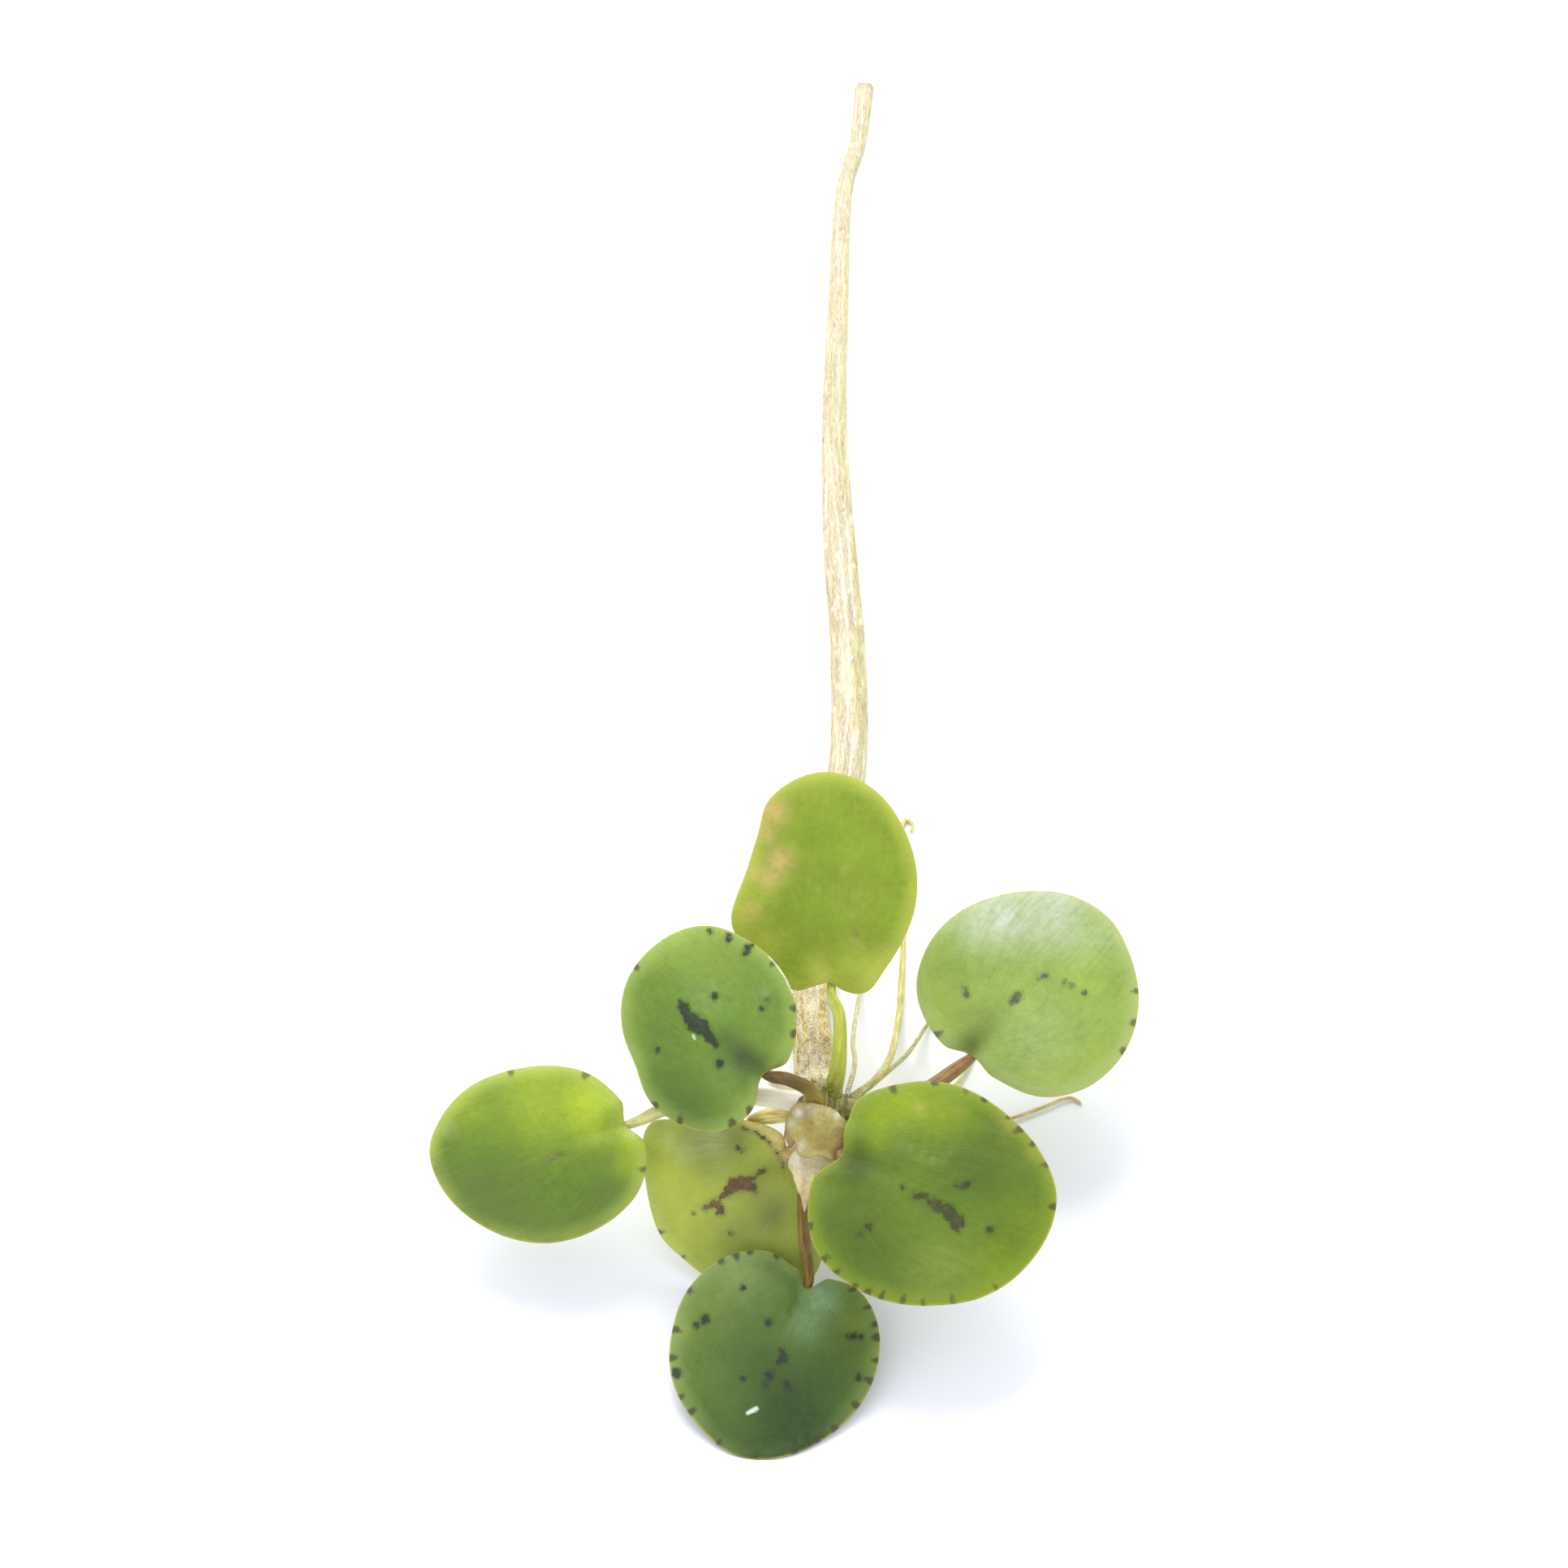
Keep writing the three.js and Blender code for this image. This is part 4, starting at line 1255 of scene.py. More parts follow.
def bundle_finish(name, glint_strength, brownness):
    """Wet roots and hairs: a smooth tan side, a middle of broken painted glints, a yellow-olive side."""
    skin = Finish(
        name, subsurface_weight=0.08, subsurface_scale=0.001, subsurface_radius=(1.0, 0.9, 0.65),
        specular_ior_level=0.1, coat_weight=0.02, coat_roughness=0.25,
    )
    place = skin.object_place()
    from_crown = skin.value("from_crown")
    fine = skin.noise(place, (1300, 190, 1300), 4, 0.6, 0.5)
    broad = skin.noise(place, (260, 42, 260))
    across = skin.line(skin.stray(broad), 2.2, skin.value("across"))
    colour = skin.ramp(
        skin.line(across, 0.5, 0.5),
        (0.08, TAN_CREAM), (0.4, PINK_CREAM), (0.62, PINK_CREAM), (0.92, OLIVE_YELLOW),
    )
    olive = skin.patches(place, (330, 90, 330), 0.54, 0.64, 4, 0.65)
    colour = skin.mix(colour, OLIVE_YELLOW, olive, 0.4)
    colour = skin.mix(colour, ROOT_TAN, skin.rise(fine, 0.46, 0.36), 0.5)
    colour = skin.mix(colour, ROOT_TAN, skin.cell_edges(place, (900, 300, 900), 0.1, 0.02), 0.4)
    # Painted glints: small white highlights on the wet hair.
    glints = skin.patches(place, (1100, 620, 1100), 0.57, 0.63, 4, 0.65)
    colour = skin.mix(colour, GLINT_WHITE, glints, glint_strength)

    near = skin.rise(from_crown, 40.0, 12.0)
    colour = skin.mix(colour, NEAR_CREAM, near, 0.6)
    algae = skin.times(skin.rise(from_crown, 106.0, 120.0), skin.rise(from_crown, 154.0, 138.0))
    colour = skin.mix(colour, OLIVE_YELLOW, algae, skin.rise(broad, 0.4, 0.6), 0.5)
    stain = skin.patches(place, (620, 120, 620), 0.46, 0.66, 5, 0.7)
    colour = skin.mix(colour, ROOT_BROWN, stain, near, brownness)
    far_stain = skin.patches(place, (700, 260, 700), 0.68, 0.74, 4, 0.7)
    colour = skin.mix(colour, FAR_OLIVE, far_stain, 0.6)
    return skin.done(colour, skin.line(broad, 0.3, 0.25), skin.bump(fine, 0.25))


def hair_finish(name, scale, detail, roughness, stops, **sockets):
    """Wet hairs and thin roots: short stretches of a few colours."""
    skin = Finish(name, subsurface_weight=0.2, subsurface_scale=0.001, **sockets)
    tone = skin.noise(skin.object_place(), scale, detail, roughness)
    return skin.done(skin.ramp(tone, *stops), skin.line(tone, 0.2, 0.3))


def curl_finish(name, dark, pale):
    """Wet loose hairs and thin roots on the bundle."""
    return hair_finish(
        name, (500, 450, 500), 4, 0.7, ((0.42, dark), (0.56, pale)),
        subsurface_radius=(1.0, 0.9, 0.6), specular_ior_level=0.3,
    )


FILM_SIDES = 48
FILM_STEPS = 300
FILM_DEPTH = 0.9
FILM_RIDGES = 0.06
FILM_TIP = 0.006
BROAD_RIDGE = 2.6
FINE_RIDGE = 6


def ridge(angle, share, fineness):
    """A point of the film's lengthwise ridges."""
    return noise.noise((math.cos(angle) * fineness, math.sin(angle) * fineness, share * fineness * 10))


def add_bundle_film():
    """The wet hair that holds the roots together, an uneven closed skin round them all."""
    def section(share, angle):
        side, up = bundle_reach(share, angle)
        ridges = np.array([
            ridge(a, s, BROAD_RIDGE) + 0.6 * ridge(a, s, FINE_RIDGE) for a, s in zip(angle, share)
        ])
        depth = (FILM_DEPTH + FILM_RIDGES * ridges) * rounded_tip(share, FILM_TIP)
        return side * depth, up * depth

    piece = rolled_tube(bundle, FILM_SIDES, FILM_STEPS, section)
    mark_bundle(piece)
    return dress_bundle(piece, "film", bundle_finish("bundle_film", 0.6, 0.4))


STRANDS = 9
STRAND_POINTS = 150
STRAND_THICKNESS = 0.34
STRAND_DEPTH = 0.76
STRAND_REST = 0.4


def add_bundle_strands():
    """The roots in the bundle, which wind slowly round each other."""
    dice = random.Random(11)
    paths = []
    for number in range(STRANDS):
        share = np.linspace(0, dice.uniform(0.985, 0.999), STRAND_POINTS)
        phase = dice.uniform(0, 6)
        angle = FULL_TURN * (number / STRANDS - BUNDLE_TWISTS * share / BUNDLE_GROOVES)
        angle += 0.5 * np.sin(share * dice.uniform(9, 17) + phase)
        depth = STRAND_DEPTH + 0.07 * np.sin(share * dice.uniform(20, 40) + phase)
        widths = (0.8 + 0.2 * np.sin(share * 60 + phase)) * bundle_width(share) / BUNDLE_PLAIN_WIDTH
        widths *= dice.uniform(0.7, 1.1)
        paths.append((bundle_points(share, angle, depth, STRAND_REST), widths))
    piece = thread_piece(paths, STRAND_THICKNESS, sides=2)
    mark_bundle(piece)
    return dress_bundle(piece, "strands", bundle_finish("bundle_strand", 0.3, 0.7))


HAIR_PIECES = 3
HAIRS_A_PIECE = 2800
HAIR_POINTS = 7
HAIR_LENGTHS = (5, 17)
HAIR_THICKNESS = 0.05
HAIR_REST = 0.06


def add_bundle_hairs(number, finish):
    """Fine wet hairs that lie along the bundle, close under its skin."""
    dice = np.random.default_rng(100 + number)
    steps = np.linspace(0, 1, HAIR_POINTS)
    each = spread(dice, HAIRS_A_PIECE)
    start = each(0, 1) ** 0.85 * 0.985
    share = np.minimum(start + steps * each(*HAIR_LENGTHS) / bundle.length, 0.9995)
    angle = each(0, FULL_TURN) + steps * dice.normal(0, 0.5, (HAIRS_A_PIECE, 1))
    angle += 0.16 * np.sin(steps * each(2, 9) + each(0, 6))
    depth = each(0.8, 0.94) + 0.06 * steps * each(0, 1) ** 3
    widths = (1 - 0.65 * steps) * each(0.7, 1.2)
    piece = thread_piece(zip(bundle_points(share, angle, depth, HAIR_REST), widths), HAIR_THICKNESS)
    mark_bundle(piece)
    return dress_bundle(piece, f"hairs_{number}", finish)


# Thin roots on top of the bundle near the crown: (angle from its top, start, end, width), in
# radians and millimetres.
TOP_ROOTS = (
    (0.66, 1, 33, 1.3), (0.57, 2, 25, 0.9), (0.78, 4, 30, 1.0), (-0.36, 4, 24, 1.0),
    (-0.47, 8, 27, 0.8), (-0.98, 1, 35, 1.1), (0.1, 0, 17, 0.9),
)
TOP_ROOT_POINTS = 40
TOP_ROOT_THICKNESS = 0.13
TOP_ROOT_DEPTH = 0.95
TOP_ROOT_TAPER = (0.3, 2.9)
CURL_POINTS = 13
CURLS_REACH = 27
CURLS = 620
CURL_DEPTHS = (0.87, 0.93)
TOP_REST = 0.1


def add_top_roots():
    """The thin orange and brown roots that show on top of the bundle."""
    dice = random.Random(5)
    taper = np.sin(np.linspace(*TOP_ROOT_TAPER, TOP_ROOT_POINTS))
    paths = []
    for start_angle, start, end, width in TOP_ROOTS:
        share = np.linspace(start, end, TOP_ROOT_POINTS) / bundle.length
        phase = dice.uniform(0, 6)
        angle = start_angle + 0.06 * np.sin(share * 240 + phase) + 0.04 * np.sin(share * 610 + 2 * phase)
        widths = width * (0.8 + 0.3 * np.sin(share * 330 + phase)) * taper
        paths.append((bundle_points(share, angle, TOP_ROOT_DEPTH, TOP_REST), widths))
    piece = thread_piece(paths, TOP_ROOT_THICKNESS, sides=1)
    finish = curl_finish("bundle_top_root", (0.42, 0.27, 0.07), (0.8, 0.58, 0.22))
    return dress_bundle(piece, "top_roots", finish)


def add_bundle_curls(tint, seed, count, thickness, dark, pale):
    """Short hairs in loose curls, which cling to the bundle's skin near the crown."""
    dice = np.random.default_rng(seed)
    steps = np.linspace(0, 1, CURL_POINTS)
    each = spread(dice, count)
    phase = each(0, 6.28) + steps * each(2.5, 8)
    size = each(0.2, 0.5)
    along = each(0, 1) ** 1.2 * CURLS_REACH + steps * each(-0.8, 1.6) + size * np.cos(phase)
    share = np.maximum(along, 0.1) / bundle.length
    angle = each(-1.9, 1.9) + size * np.sin(phase) / 2.4
    points = bundle_points(share, angle, each(*CURL_DEPTHS), TOP_REST)
    piece = thread_piece(zip(points, (1 - 0.5 * steps) * each(0.7, 1.2)), thickness)
    return dress_bundle(piece, f"{tint}_curls", curl_finish(f"bundle_{tint}_curl", dark, pale))


# Young roots.

YOUNG_ROOT_SIDES = 14
YOUNG_ROOT_STEPS_A_MM = 3
YOUNG_ROOT_TIP = 0.015
YOUNG_ROOT_REST = 0.02
YOUNG_HAIRS_A_MM = 5
YOUNG_HAIR_POINTS = 5
YOUNG_HAIR_THICKNESS = 0.035
YOUNG_HAIR_REST = 0.04
YOUNG_FOOT = (0.15, 0.15, 0.035)
YOUNG_HAIR_STOPS = ((0.36, (0.6, 0.56, 0.16)), (0.5, (0.8, 0.74, 0.36)), (0.62, (0.92, 0.87, 0.64)))


@dataclass
class YoungRoot:
    """A young root: its radius at its foot and its tip, its route in millimetres, its colours."""
    name: str
    radius: float
    tip: float
    slot: str
    dark: tuple
    pale: tuple
    route: tuple

    def radius_at(self, share):
        return self.radius + (self.tip - self.radius) * share


YOUNG_ROOTS = (
    YoungRoot("root_beside_stalk", 0.35, 0.22, "root_straw", (0.44, 0.42, 0.15), (0.72, 0.68, 0.36), (
        (3.8, 3.8, 17.5), (4.6, 11.3, 13.6), (4.1, 18.2, 8.6), (4.3, 27, 3.2), (4.7, 34, 0.5), (5, 40, 0.3),
    )),
    YoungRoot("root_hooked", 0.58, 0.22, "root_green", (0.44, 0.42, 0.09), (0.74, 0.68, 0.26), (
        (3.2, 4.3, 15.4), (6.7, 10.4, 10.9), (8.6, 17.3, 6.2), (9.5, 26.6, 1.6), (9.8, 34.5, 0.6),
        (9.8, 43, 0.5), (9.5, 51, 0.45), (9.4, 56.5, 0.4), (9.9, 58.9, 0.35), (10.8, 58.4, 0.3),
        (10.6, 56.9, 0.25),
    )),
    YoungRoot("root_behind_leaf", 0.4, 0.22, "root_green", (0.22, 0.2, 0.025), (0.5, 0.47, 0.08), (
        (3.2, 2.2, 16.5), (5.4, 5.8, 15.1), (8.9, 12.2, 11.3), (10.9, 18.2, 6.2), (13, 26, 1),
        (16.5, 33.3, 0.3),
    )),
    YoungRoot("root_green", 0.4, 0.22, "root_green", (0.42, 0.44, 0.1), (0.72, 0.73, 0.3), (
        (3.6, 0.6, 15), (10.2, 8.6, 6.4), (16.4, 16.5, 1), (18.9, 21.7, 0.5), (20.3, 26.3, 0.3),
    )),
    YoungRoot("root_right", 0.45, 0.2, "root_straw", (0.45, 0.28, 0.1), (0.78, 0.6, 0.32), (
        (3.4, -0.8, 16), (7.5, 1.5, 10), (12.1, 5, 4.6), (19.5, 10.2, 0.7), (24.8, 12.7, 0.5),
        (28, 14.1, 0.45), (31.2, 15.5, 0.4), (32.6, 14.6, 0.25),
    )),
)


def young_root_finish(root):
    """Young root skin: lengthwise streaks, darker flecks and a wet shine."""
    skin = Finish(
        f"skin_{root.name}", subsurface_weight=0.3, subsurface_scale=0.0008,
        specular_ior_level=0.3, coat_weight=0.08, coat_roughness=0.15,
    )
    where = skin.vector("straight")
    streaks = skin.noise(where, (4, 4, 0.35), 4, 0.6)
    colour = skin.ramp(streaks, (0.38, root.dark), (0.6, root.pale))
    flecks = skin.patches(where, (2, 2, 0.8), 0.62, 0.7, 3, 0.6)
    colour = skin.mix(colour, toned(root.dark, 0.5), flecks, 0.7)
    foot = skin.rise(skin.value("share"), 0.2, 0.02)
    speckles = skin.patches(where, 2.6, 0.46, 0.6, 4, 0.7)
    colour = skin.mix(colour, YOUNG_FOOT, foot, skin.sum(speckles, 0.3))
    return skin.done(colour, skin.line(streaks, 0.3, 0.2), skin.bump(streaks, 0.12))


def add_young_root(root, hairs_finish):
    """A young root: thin, slightly knotty, and tapered to its tip, with hairs lying along it."""
    route = Route(root.route)

    def section(share, angle):
        knots = np.array([noise.noise((s * route.length * 0.5, 0, root.radius * 40)) for s in share])
        radius = root.radius_at(share) * (0.95 + 0.14 * knots) * rounded_tip(share, YOUNG_ROOT_TIP)
        return radius, radius

    along = int(route.length * YOUNG_ROOT_STEPS_A_MM)
    core = rolled_tube(route, YOUNG_ROOT_SIDES, along, section, YOUNG_ROOT_REST)
    dress(core, f"{root.name}_core", root.name, young_root_finish(root))

    dice = np.random.default_rng(len(root.name))
    count = int(route.length * YOUNG_HAIRS_A_MM)
    steps = np.linspace(0, 1, YOUNG_HAIR_POINTS)
    each = spread(dice, count)
    share = np.minimum(each(0.04, 0.93) + steps * each(1.5, 5) / route.length, 0.995)
    angle = each(0, FULL_TURN) + steps * dice.normal(0, 1.2, (count, 1))
    reach = root.radius_at(share) * (0.78 + steps * each(0.12, 0.37))
    points = route.around(share, angle, reach, reach, YOUNG_HAIR_REST)
    hairs = thread_piece([(line, 1 - 0.6 * steps) for line in points], YOUNG_HAIR_THICKNESS)
    dress(hairs, f"{root.name}_hairs", root.name, hairs_finish)


# The crown, its bud, its young leaf and its two papery sheaths.

CROWN_RADII = (3.3, 4.2, 3.1)
CROWN_LEAN = -35
CROWN_LUMP = 0.1
CROWN_LUMPS = 6
CROWN_SEGMENTS = 48
CROWN_RINGS = 32
CROWN_SHRINK = 0.985


def crown_finish():
    """Crown skin: olive and brown leaf bases with dark speckles and small painted glints."""
    skin = Finish("crown_skin", subsurface_weight=0.1, subsurface_scale=0.001, specular_ior_level=0.25)
    place = skin.stretched(skin.object_place(), (1000, 1000, 1000))
    fibres = skin.noise(place, (1.6, 0.3, 0.9), 5, 0.65)
    dark, olive, pale = (0.06, 0.055, 0.015), (0.22, 0.2, 0.05), (0.42, 0.36, 0.12)
    colour = skin.ramp(fibres, (0.34, dark), (0.5, olive), (0.66, pale))
    colour = skin.mix(colour, (0.05, 0.07, 0.02), skin.patches(place, 2.4, 0.56, 0.64, 4, 0.7), 0.8)
    # Painted glints: small pale highlights.
    colour = skin.mix(colour, (0.7, 0.66, 0.42), skin.patches(place, 3.1, 0.7, 0.76, 2), 0.5)
    return skin.done(colour, skin.line(fibres, 0.4, 0.25), skin.bump(fibres, 0.5))


def add_crown():
    """The short stem: a ball drawn out, grooved between its leaf bases and roughened."""
    deselect_all()
    bpy.ops.mesh.primitive_uv_sphere_add(segments=CROWN_SEGMENTS, ring_count=CROWN_RINGS, radius=MM)
    piece = bpy.context.object
    edit(piece)
    bpy.ops.transform.rotate(value=math.pi / 2, orient_axis="X", center_override=(0, 0, 0))
    bpy.ops.transform.resize(value=CROWN_RADII, center_override=(0, 0, 0))
    close_edit()
    places = corner_places(piece)
    for place in places:
        x, y, z = (value / radius / MM for value, radius in zip(place, CROWN_RADII))
        wide = math.hypot(x, z)
        groove = 1 + CROWN_LUMP * math.cos(CROWN_LUMPS * math.atan2(x, z)) * wide
        rough = 1 + 0.035 * noise.noise((x * 3, y * 1.2, z * 3)) + 0.02 * noise.noise((x * 9, y * 4, z * 9))
        rings = 1 + 0.015 * math.sin(y * 17) * wide
        place *= groove * rough * rings * CROWN_SHRINK
    move_corners(piece, places)
    lean = Matrix.Rotation(math.radians(CROWN_LEAN), 4, "X")
    settle(piece, Matrix.Translation(placed(CROWN_CENTRE)) @ lean)
    smooth_outwards(piece)
    return dress(piece, "crown_stem", "crown", crown_finish())


SPINDLE_END = 0.45
BUD_ROUTE = ((-0.8, 2.4, 18), (-3.2, 4.6, 18.4), (-5.8, 6, 17.4))
BUD_RADIUS = 0.7275
BUD_TIP = 0.12
ROLLED_LEAF_ROUTE = ((-1.2, 1, 17.4), (-4.4, 1.4, 17.2), (-8.4, 1.6, 15.6))
ROLLED_LEAF_RADIUS = 1.1
ROLLED_LEAF_TIP = 0.1
SCROLL_EDGE = 0.93
SCROLL_STEP = 0.22


def spindle(share, radius, tip):
    """The radius of a spindle that swells in its middle and has a rounded tip."""
    return radius * (SPINDLE_END + (1 - SPINDLE_END) * np.sin(math.pi * share)) * rounded_tip(share, tip)


def soft_skin_finish(name, dark, pale, tip):
    """Soft young skin: pale lengthwise streaks that run into the tip's colour."""
    skin = Finish(
        name, subsurface_weight=0.35, subsurface_scale=0.0012, subsurface_radius=(1.0, 0.85, 0.6),
        specular_ior_level=0.5, coat_weight=0.3, coat_roughness=0.15,
    )
    streaks = skin.noise(skin.vector("straight"), (2.4, 2.4, 0.4), 4, 0.6)
    colour = skin.ramp(streaks, (0.36, dark), (0.6, pale))
    colour = skin.mix(colour, tip, skin.rise(skin.value("share"), 0.55, 1.0), 0.8)
    return skin.done(colour, skin.line(streaks, 0.3, 0.2), skin.bump(streaks, 0.15))


def add_bud():
    """The short pink root bud: a smooth spindle with a blunt tip."""
    def section(share, angle):
        radius = spindle(share, BUD_RADIUS, BUD_TIP)
        return radius, radius

    piece = rolled_tube(Route(BUD_ROUTE), 24, 40, section)
    finish = soft_skin_finish("bud_skin", (0.76, 0.5, 0.4), (0.9, 0.82, 0.72), (0.9, 0.68, 0.58))
    return dress(piece, "bud", "root_bud", finish)


def add_rolled_leaf():
    """The young leaf, rolled up on itself: one edge of the blade shows along its side."""
    def section(share, angle):
        turn = (angle / FULL_TURN + 0.3 + 0.1 * share) % 1
        inner = 1 - SCROLL_STEP * turn / SCROLL_EDGE
        step_up = 1 - SCROLL_STEP * (1 - turn) / (1 - SCROLL_EDGE)
        radius = spindle(share, ROLLED_LEAF_RADIUS, ROLLED_LEAF_TIP)
        radius = radius * np.where(turn < SCROLL_EDGE, inner, step_up)
        return radius, radius

    piece = rolled_tube(Route(ROLLED_LEAF_ROUTE), 60, 48, section)
    finish = soft_skin_finish("young_leaf_skin", (0.5, 0.44, 0.07), (0.92, 0.8, 0.3), (0.42, 0.17, 0.03))
    return dress(piece, "young_leaf", "rolled_leaf", finish)


@dataclass
class Sheath:
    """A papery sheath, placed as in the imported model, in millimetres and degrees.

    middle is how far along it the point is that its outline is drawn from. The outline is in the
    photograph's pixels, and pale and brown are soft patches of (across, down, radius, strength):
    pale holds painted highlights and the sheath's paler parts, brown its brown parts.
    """
    name: str
    foot: tuple
    heading: float
    climb: float
    bank: float
    length: float
    width: float
    cup: float
    middle: float
    outline: tuple
    deep: tuple
    main: tuple
    pale: tuple
    brown: tuple


# Each sheath's pale patches paint highlights together with its paler parts.
SHEATHS = (
    Sheath(
        "sheath_brown", (0.5, -1.8, 24), 264, -27, 2, 6.8, 6.8, -1.4, 3.4,
        outline=(
            (773, 1013), (778, 1003), (788, 1001), (798, 1003), (808, 1008), (813, 1016), (814, 1025),
            (814, 1033), (808, 1039), (796, 1037), (783, 1037), (780, 1028),
        ),
        deep=(0.25, 0.205, 0.045), main=(0.43, 0.375, 0.1),
        pale=(
            (782, 1008, 3.5, 0.9), (777, 1015, 4, 0.4), (783, 1030, 4, 0.6), (808, 1009, 3, 0.9),
            (792, 1038, 4, 0.2), (802, 1006, 5, 0.2), (790, 1006, 5, 0.4), (801, 1038, 5, 0.2),
        ),
        brown=(
            (810, 1027, 5.5, 0.95), (808, 1035, 6, 0.95), (779, 1031, 3, 0.8), (788, 1015, 5, 0.4),
            (776, 1010, 2.5, 0.3), (803, 1029, 7, 0.42), (790, 1025, 6, 0.4), (796, 1030, 6, 0.25),
        ),
    ),
    Sheath(
        "sheath_pale", (0.4, -5.8, 18.6), 257, -30, 0, 8.4, 6.4, -1.2, 2.2,
        outline=(
            (775, 1037), (783, 1031), (796, 1030), (810, 1034), (813, 1039), (805, 1046), (797, 1052),
            (791, 1062), (787, 1074), (783, 1062), (779, 1051),
        ),
        deep=(0.7, 0.54, 0.26), main=(0.92, 0.77, 0.43),
        pale=((781, 1039, 4.5, 0.95), (785, 1045, 4, 0.5), (784, 1036, 4, 0.6)),
        brown=((807, 1039, 5, 0.2), (787, 1066, 9, 0.6), (777, 1044, 1.5, 0.4)),
    ),
)
SHEATH_POINTS = 120
SHEATH_RINGS = 28
SHEATH_THICKNESS = 0.16
SHEATH_RIM_HEIGHT = 0.6
SHEATH_TEAR = 0.06
SHEATH_FOLD = 0.15
# The pale of painted highlights and of the sheath's paler parts.
SHEATH_PALE_AND_HIGHLIGHT = (0.92, 0.82, 0.7)
SHEATH_BROWN = (0.2, 0.115, 0.03)


def sheath_finish(sheath):
    """Wet papery scale: lengthwise folds and veins over its pale patches, which hold painted highlights and
    paler parts, and its brown patches.
    """
    skin = Finish(
        f"skin_{sheath.name}", subsurface_weight=0.5, subsurface_scale=0.0012,
        subsurface_radius=(1.0, 0.92, 0.7), specular_ior_level=0.3, coat_weight=0.1, coat_roughness=0.2,
    )
    where = skin.vector("straight")
    veins = skin.noise(where, (0.3, 2.6, 1), 4, 0.6, 0.6)
    clouds = skin.noise(where, 0.7, 5, 0.65, 0.8)
    stray = skin.stray(clouds)
    tone = skin.sum(skin.times(veins, 0.25), skin.times(clouds, 0.75))
    colour = skin.ramp(tone, (0.34, sheath.deep), (0.62, sheath.main))
    # Painted highlights, together with the sheath's paler parts, in its pale patches.
    colour = skin.mix(colour, SHEATH_PALE_AND_HIGHLIGHT, skin.value("pale"), skin.line(stray, 1.5, 0.85))
    colour = skin.mix(colour, SHEATH_BROWN, skin.value("brown"), skin.line(stray, 2.0, 0.85))
    creases = skin.cell_edges(where, (0.45, 1.1, 1), 0.07, 0.0)
    colour = skin.mix(colour, SHEATH_BROWN, creases, 0.12)
    edge = skin.rise(skin.value("reach"), 0.92, 1.0)
    colour = skin.mix(colour, SHEATH_BROWN, edge, skin.rise(clouds, 0.3, 0.6), 0.6)
    return skin.done(colour, skin.line(clouds, 0.3, 0.2), skin.bump(veins, 0.15, skin.bump(clouds, 0.5)))


def sheath_corner(sheath, way, reach):
    """Where a corner of the plain circle lies on the sheath: out to its outline, cupped and crumpled."""
    far = np.linalg.norm(way)
    torn = noise.noise((way[0] * 3, way[1] * 3, sheath.length))
    torn += 0.5 * noise.noise((way[0] * 9, way[1] * 9, sheath.width))
    along, side = way * reach * (1 + SHEATH_TEAR * torn * far ** 3) + (sheath.middle, 0)
    lengthwise, sideways = 2 * along / sheath.length - 1, 2 * side / sheath.width
    wander = 2.5 * noise.noise((along * 0.35, side * 0.35, 2.3))
    folds = SHEATH_FOLD * math.sin(6.5 * sideways + wander) * (1 - far ** 6)
    crumple = 0.25 * noise.noise((along * 0.6, side * 0.6, sheath.length))
    crumple += 0.1 * noise.noise((along * 1.6, side * 1.6, sheath.width))
    bend = sheath.cup * (sideways ** 2 + 0.35 * lengthwise ** 2)
    return along, side, bend + folds + crumple


def add_sheath(sheath):
    """A papery sheath: a circle drawn in to its middle, stretched to its outline and crumpled."""
    deselect_all()
    bpy.ops.mesh.primitive_circle_add(vertices=SHEATH_POINTS, radius=MM, fill_type="NOTHING")
    piece = bpy.context.object
    edit(piece)
    fill_inwards([1 - step / SHEATH_RINGS for step in range(SHEATH_RINGS)])
    close_edit()

    tilted = tilted_frame(sheath.foot, sheath.heading, sheath.climb, sheath.bank)
    height = sheath.cup * SHEATH_RIM_HEIGHT
    keys = [polar(pixel_on_plane(tilted, pixel, height) - (sheath.middle, 0)) for pixel in sheath.outline]
    flat = corner_places(piece)[:, :2] / MM
    angles, reaches = polar(flat)
    outline = closed_reach(keys, angles)
    places = np.array([sheath_corner(sheath, way, reach) for way, reach in zip(flat, outline)])
    move_corners(piece, places * MM)
    keep_vector(piece, "straight", places)
    keep_value(piece, "reach", reaches)
    face_outwards(piece)
    wall = piece.modifiers.new("wall", "SOLIDIFY")
    wall.thickness = SHEATH_THICKNESS * MM
    wall.offset = 0
    bpy.ops.object.modifier_apply(modifier=wall.name)

    settle(piece, tilted)
    pixels = photo_pixels(piece)
    # Pale patches: painted highlights and paler parts.
    keep_patches(piece, pixels, "pale", sheath.pale)
    keep_patches(piece, pixels, "brown", sheath.brown)
    smooth_outwards(piece)
    return dress(piece, f"scale_{sheath.name}", sheath.name, sheath_finish(sheath))


# Surface and light.

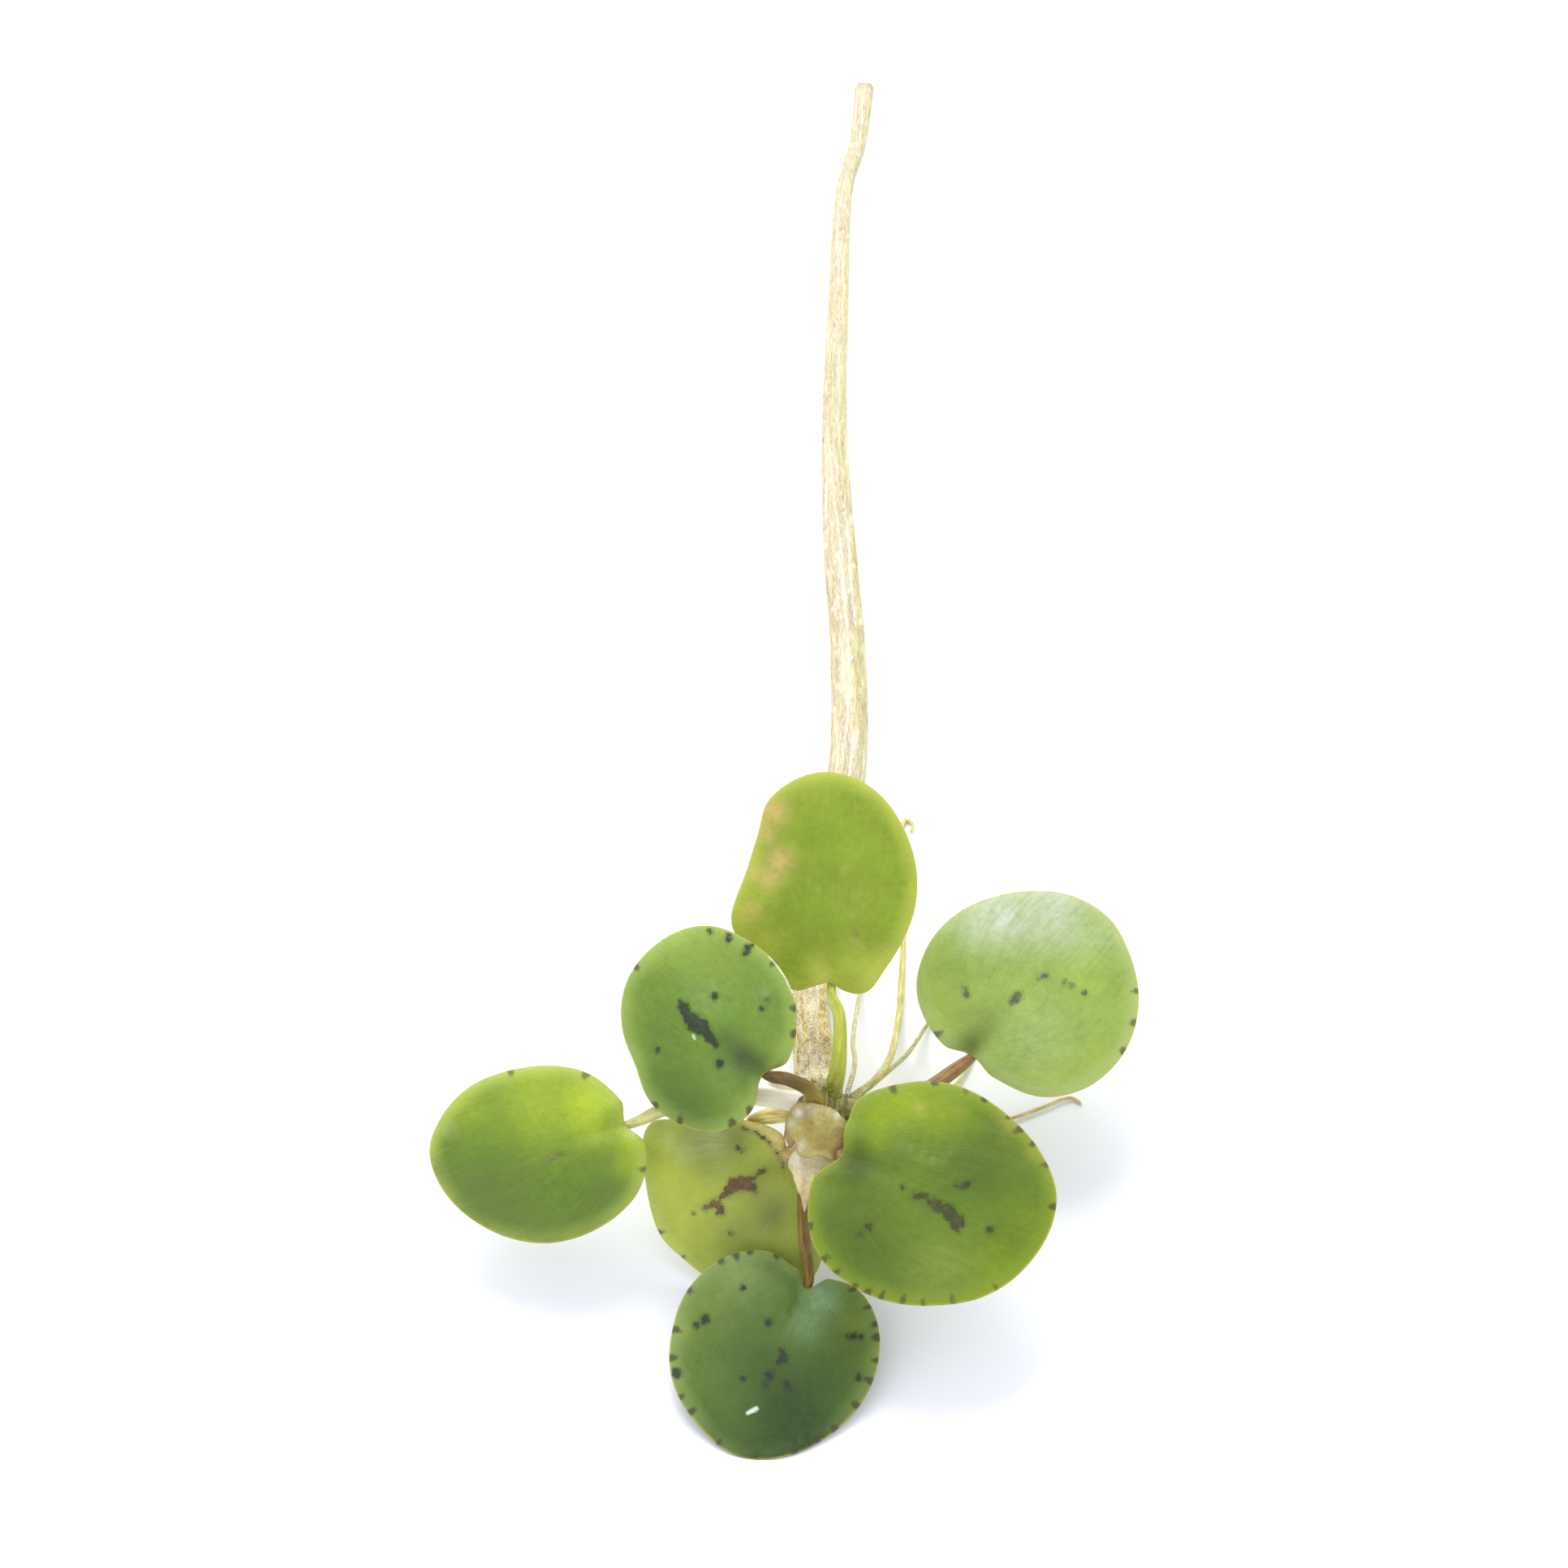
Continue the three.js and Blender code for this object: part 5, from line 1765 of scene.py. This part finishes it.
FLOOR_SIDE = 6
FLOOR_COOL = (0.87, 0.885, 0.96)
FLOOR_WARM = (0.89, 0.9, 0.965)
SKY = (0.97, 0.975, 1.0, 1)
SKY_STRENGTH = 1.2
WINDOW_PLACE = (-120, 520, 760)
WINDOW_AIM = (0, 20, 0)
WINDOW_SIZE = 0.6
WINDOW_POWER = 5.2
WINDOW_COLOUR = (1.0, 0.98, 0.93)


def add_floor():
    """A plain pale surface."""
    deselect_all()
    bpy.ops.mesh.primitive_plane_add(size=FLOOR_SIDE)
    floor = bpy.context.object
    floor.name = "floor"
    paper = Finish("floor_white", specular_ior_level=0.2)
    cloud = paper.noise(paper.object_place(), 3.0, 2)
    colour = paper.ramp(cloud, (0.3, FLOOR_COOL), (0.7, FLOOR_WARM))
    floor.data.materials.append(paper.done(colour, paper.line(cloud, 0.05, 0.75)))


def add_lights():
    """Soft daylight from a window behind, and pale sky light all round."""
    window = bpy.data.objects.new("window", bpy.data.lights.new("window", "AREA"))
    bpy.context.scene.collection.objects.link(window)
    window.data.shape = "DISK"
    window.data.size = WINDOW_SIZE
    window.data.energy = WINDOW_POWER
    window.data.color = WINDOW_COLOUR
    window.location = placed(WINDOW_PLACE)
    window.rotation_euler = (placed(WINDOW_AIM) - window.location).to_track_quat("-Z", "Y").to_euler()
    world = bpy.data.worlds.new("sky")
    bpy.context.scene.world = world
    world.use_nodes = True
    background = world.node_tree.nodes["Background"]
    background.inputs["Color"].default_value = SKY
    background.inputs["Strength"].default_value = SKY_STRENGTH
    bpy.context.scene.view_settings.view_transform = "Standard"


add_camera()
for leaf in LEAVES:
    add_blade(leaf)
    add_stalk(leaf)
add_bundle_film()
add_bundle_strands()
bundle_hair = bundle_finish("bundle_hair", 0.5, 0.2)
for number in range(HAIR_PIECES):
    add_bundle_hairs(number + 1, bundle_hair)
add_top_roots()
add_bundle_curls("pale", 301, CURLS, 0.075, (0.95, 0.86, 0.6), (1.0, 0.97, 0.9))
add_bundle_curls("olive", 302, CURLS // 2, 0.06, (0.46, 0.38, 0.1), (0.84, 0.74, 0.36))
young_hair = hair_finish("root_hair", (900, 300, 900), 3, 0.6, YOUNG_HAIR_STOPS, specular_ior_level=0.4)
for root in YOUNG_ROOTS:
    add_young_root(root, young_hair)
add_crown()
add_bud()
add_rolled_leaf()
for sheath in SHEATHS:
    add_sheath(sheath)
add_floor()
add_lights()
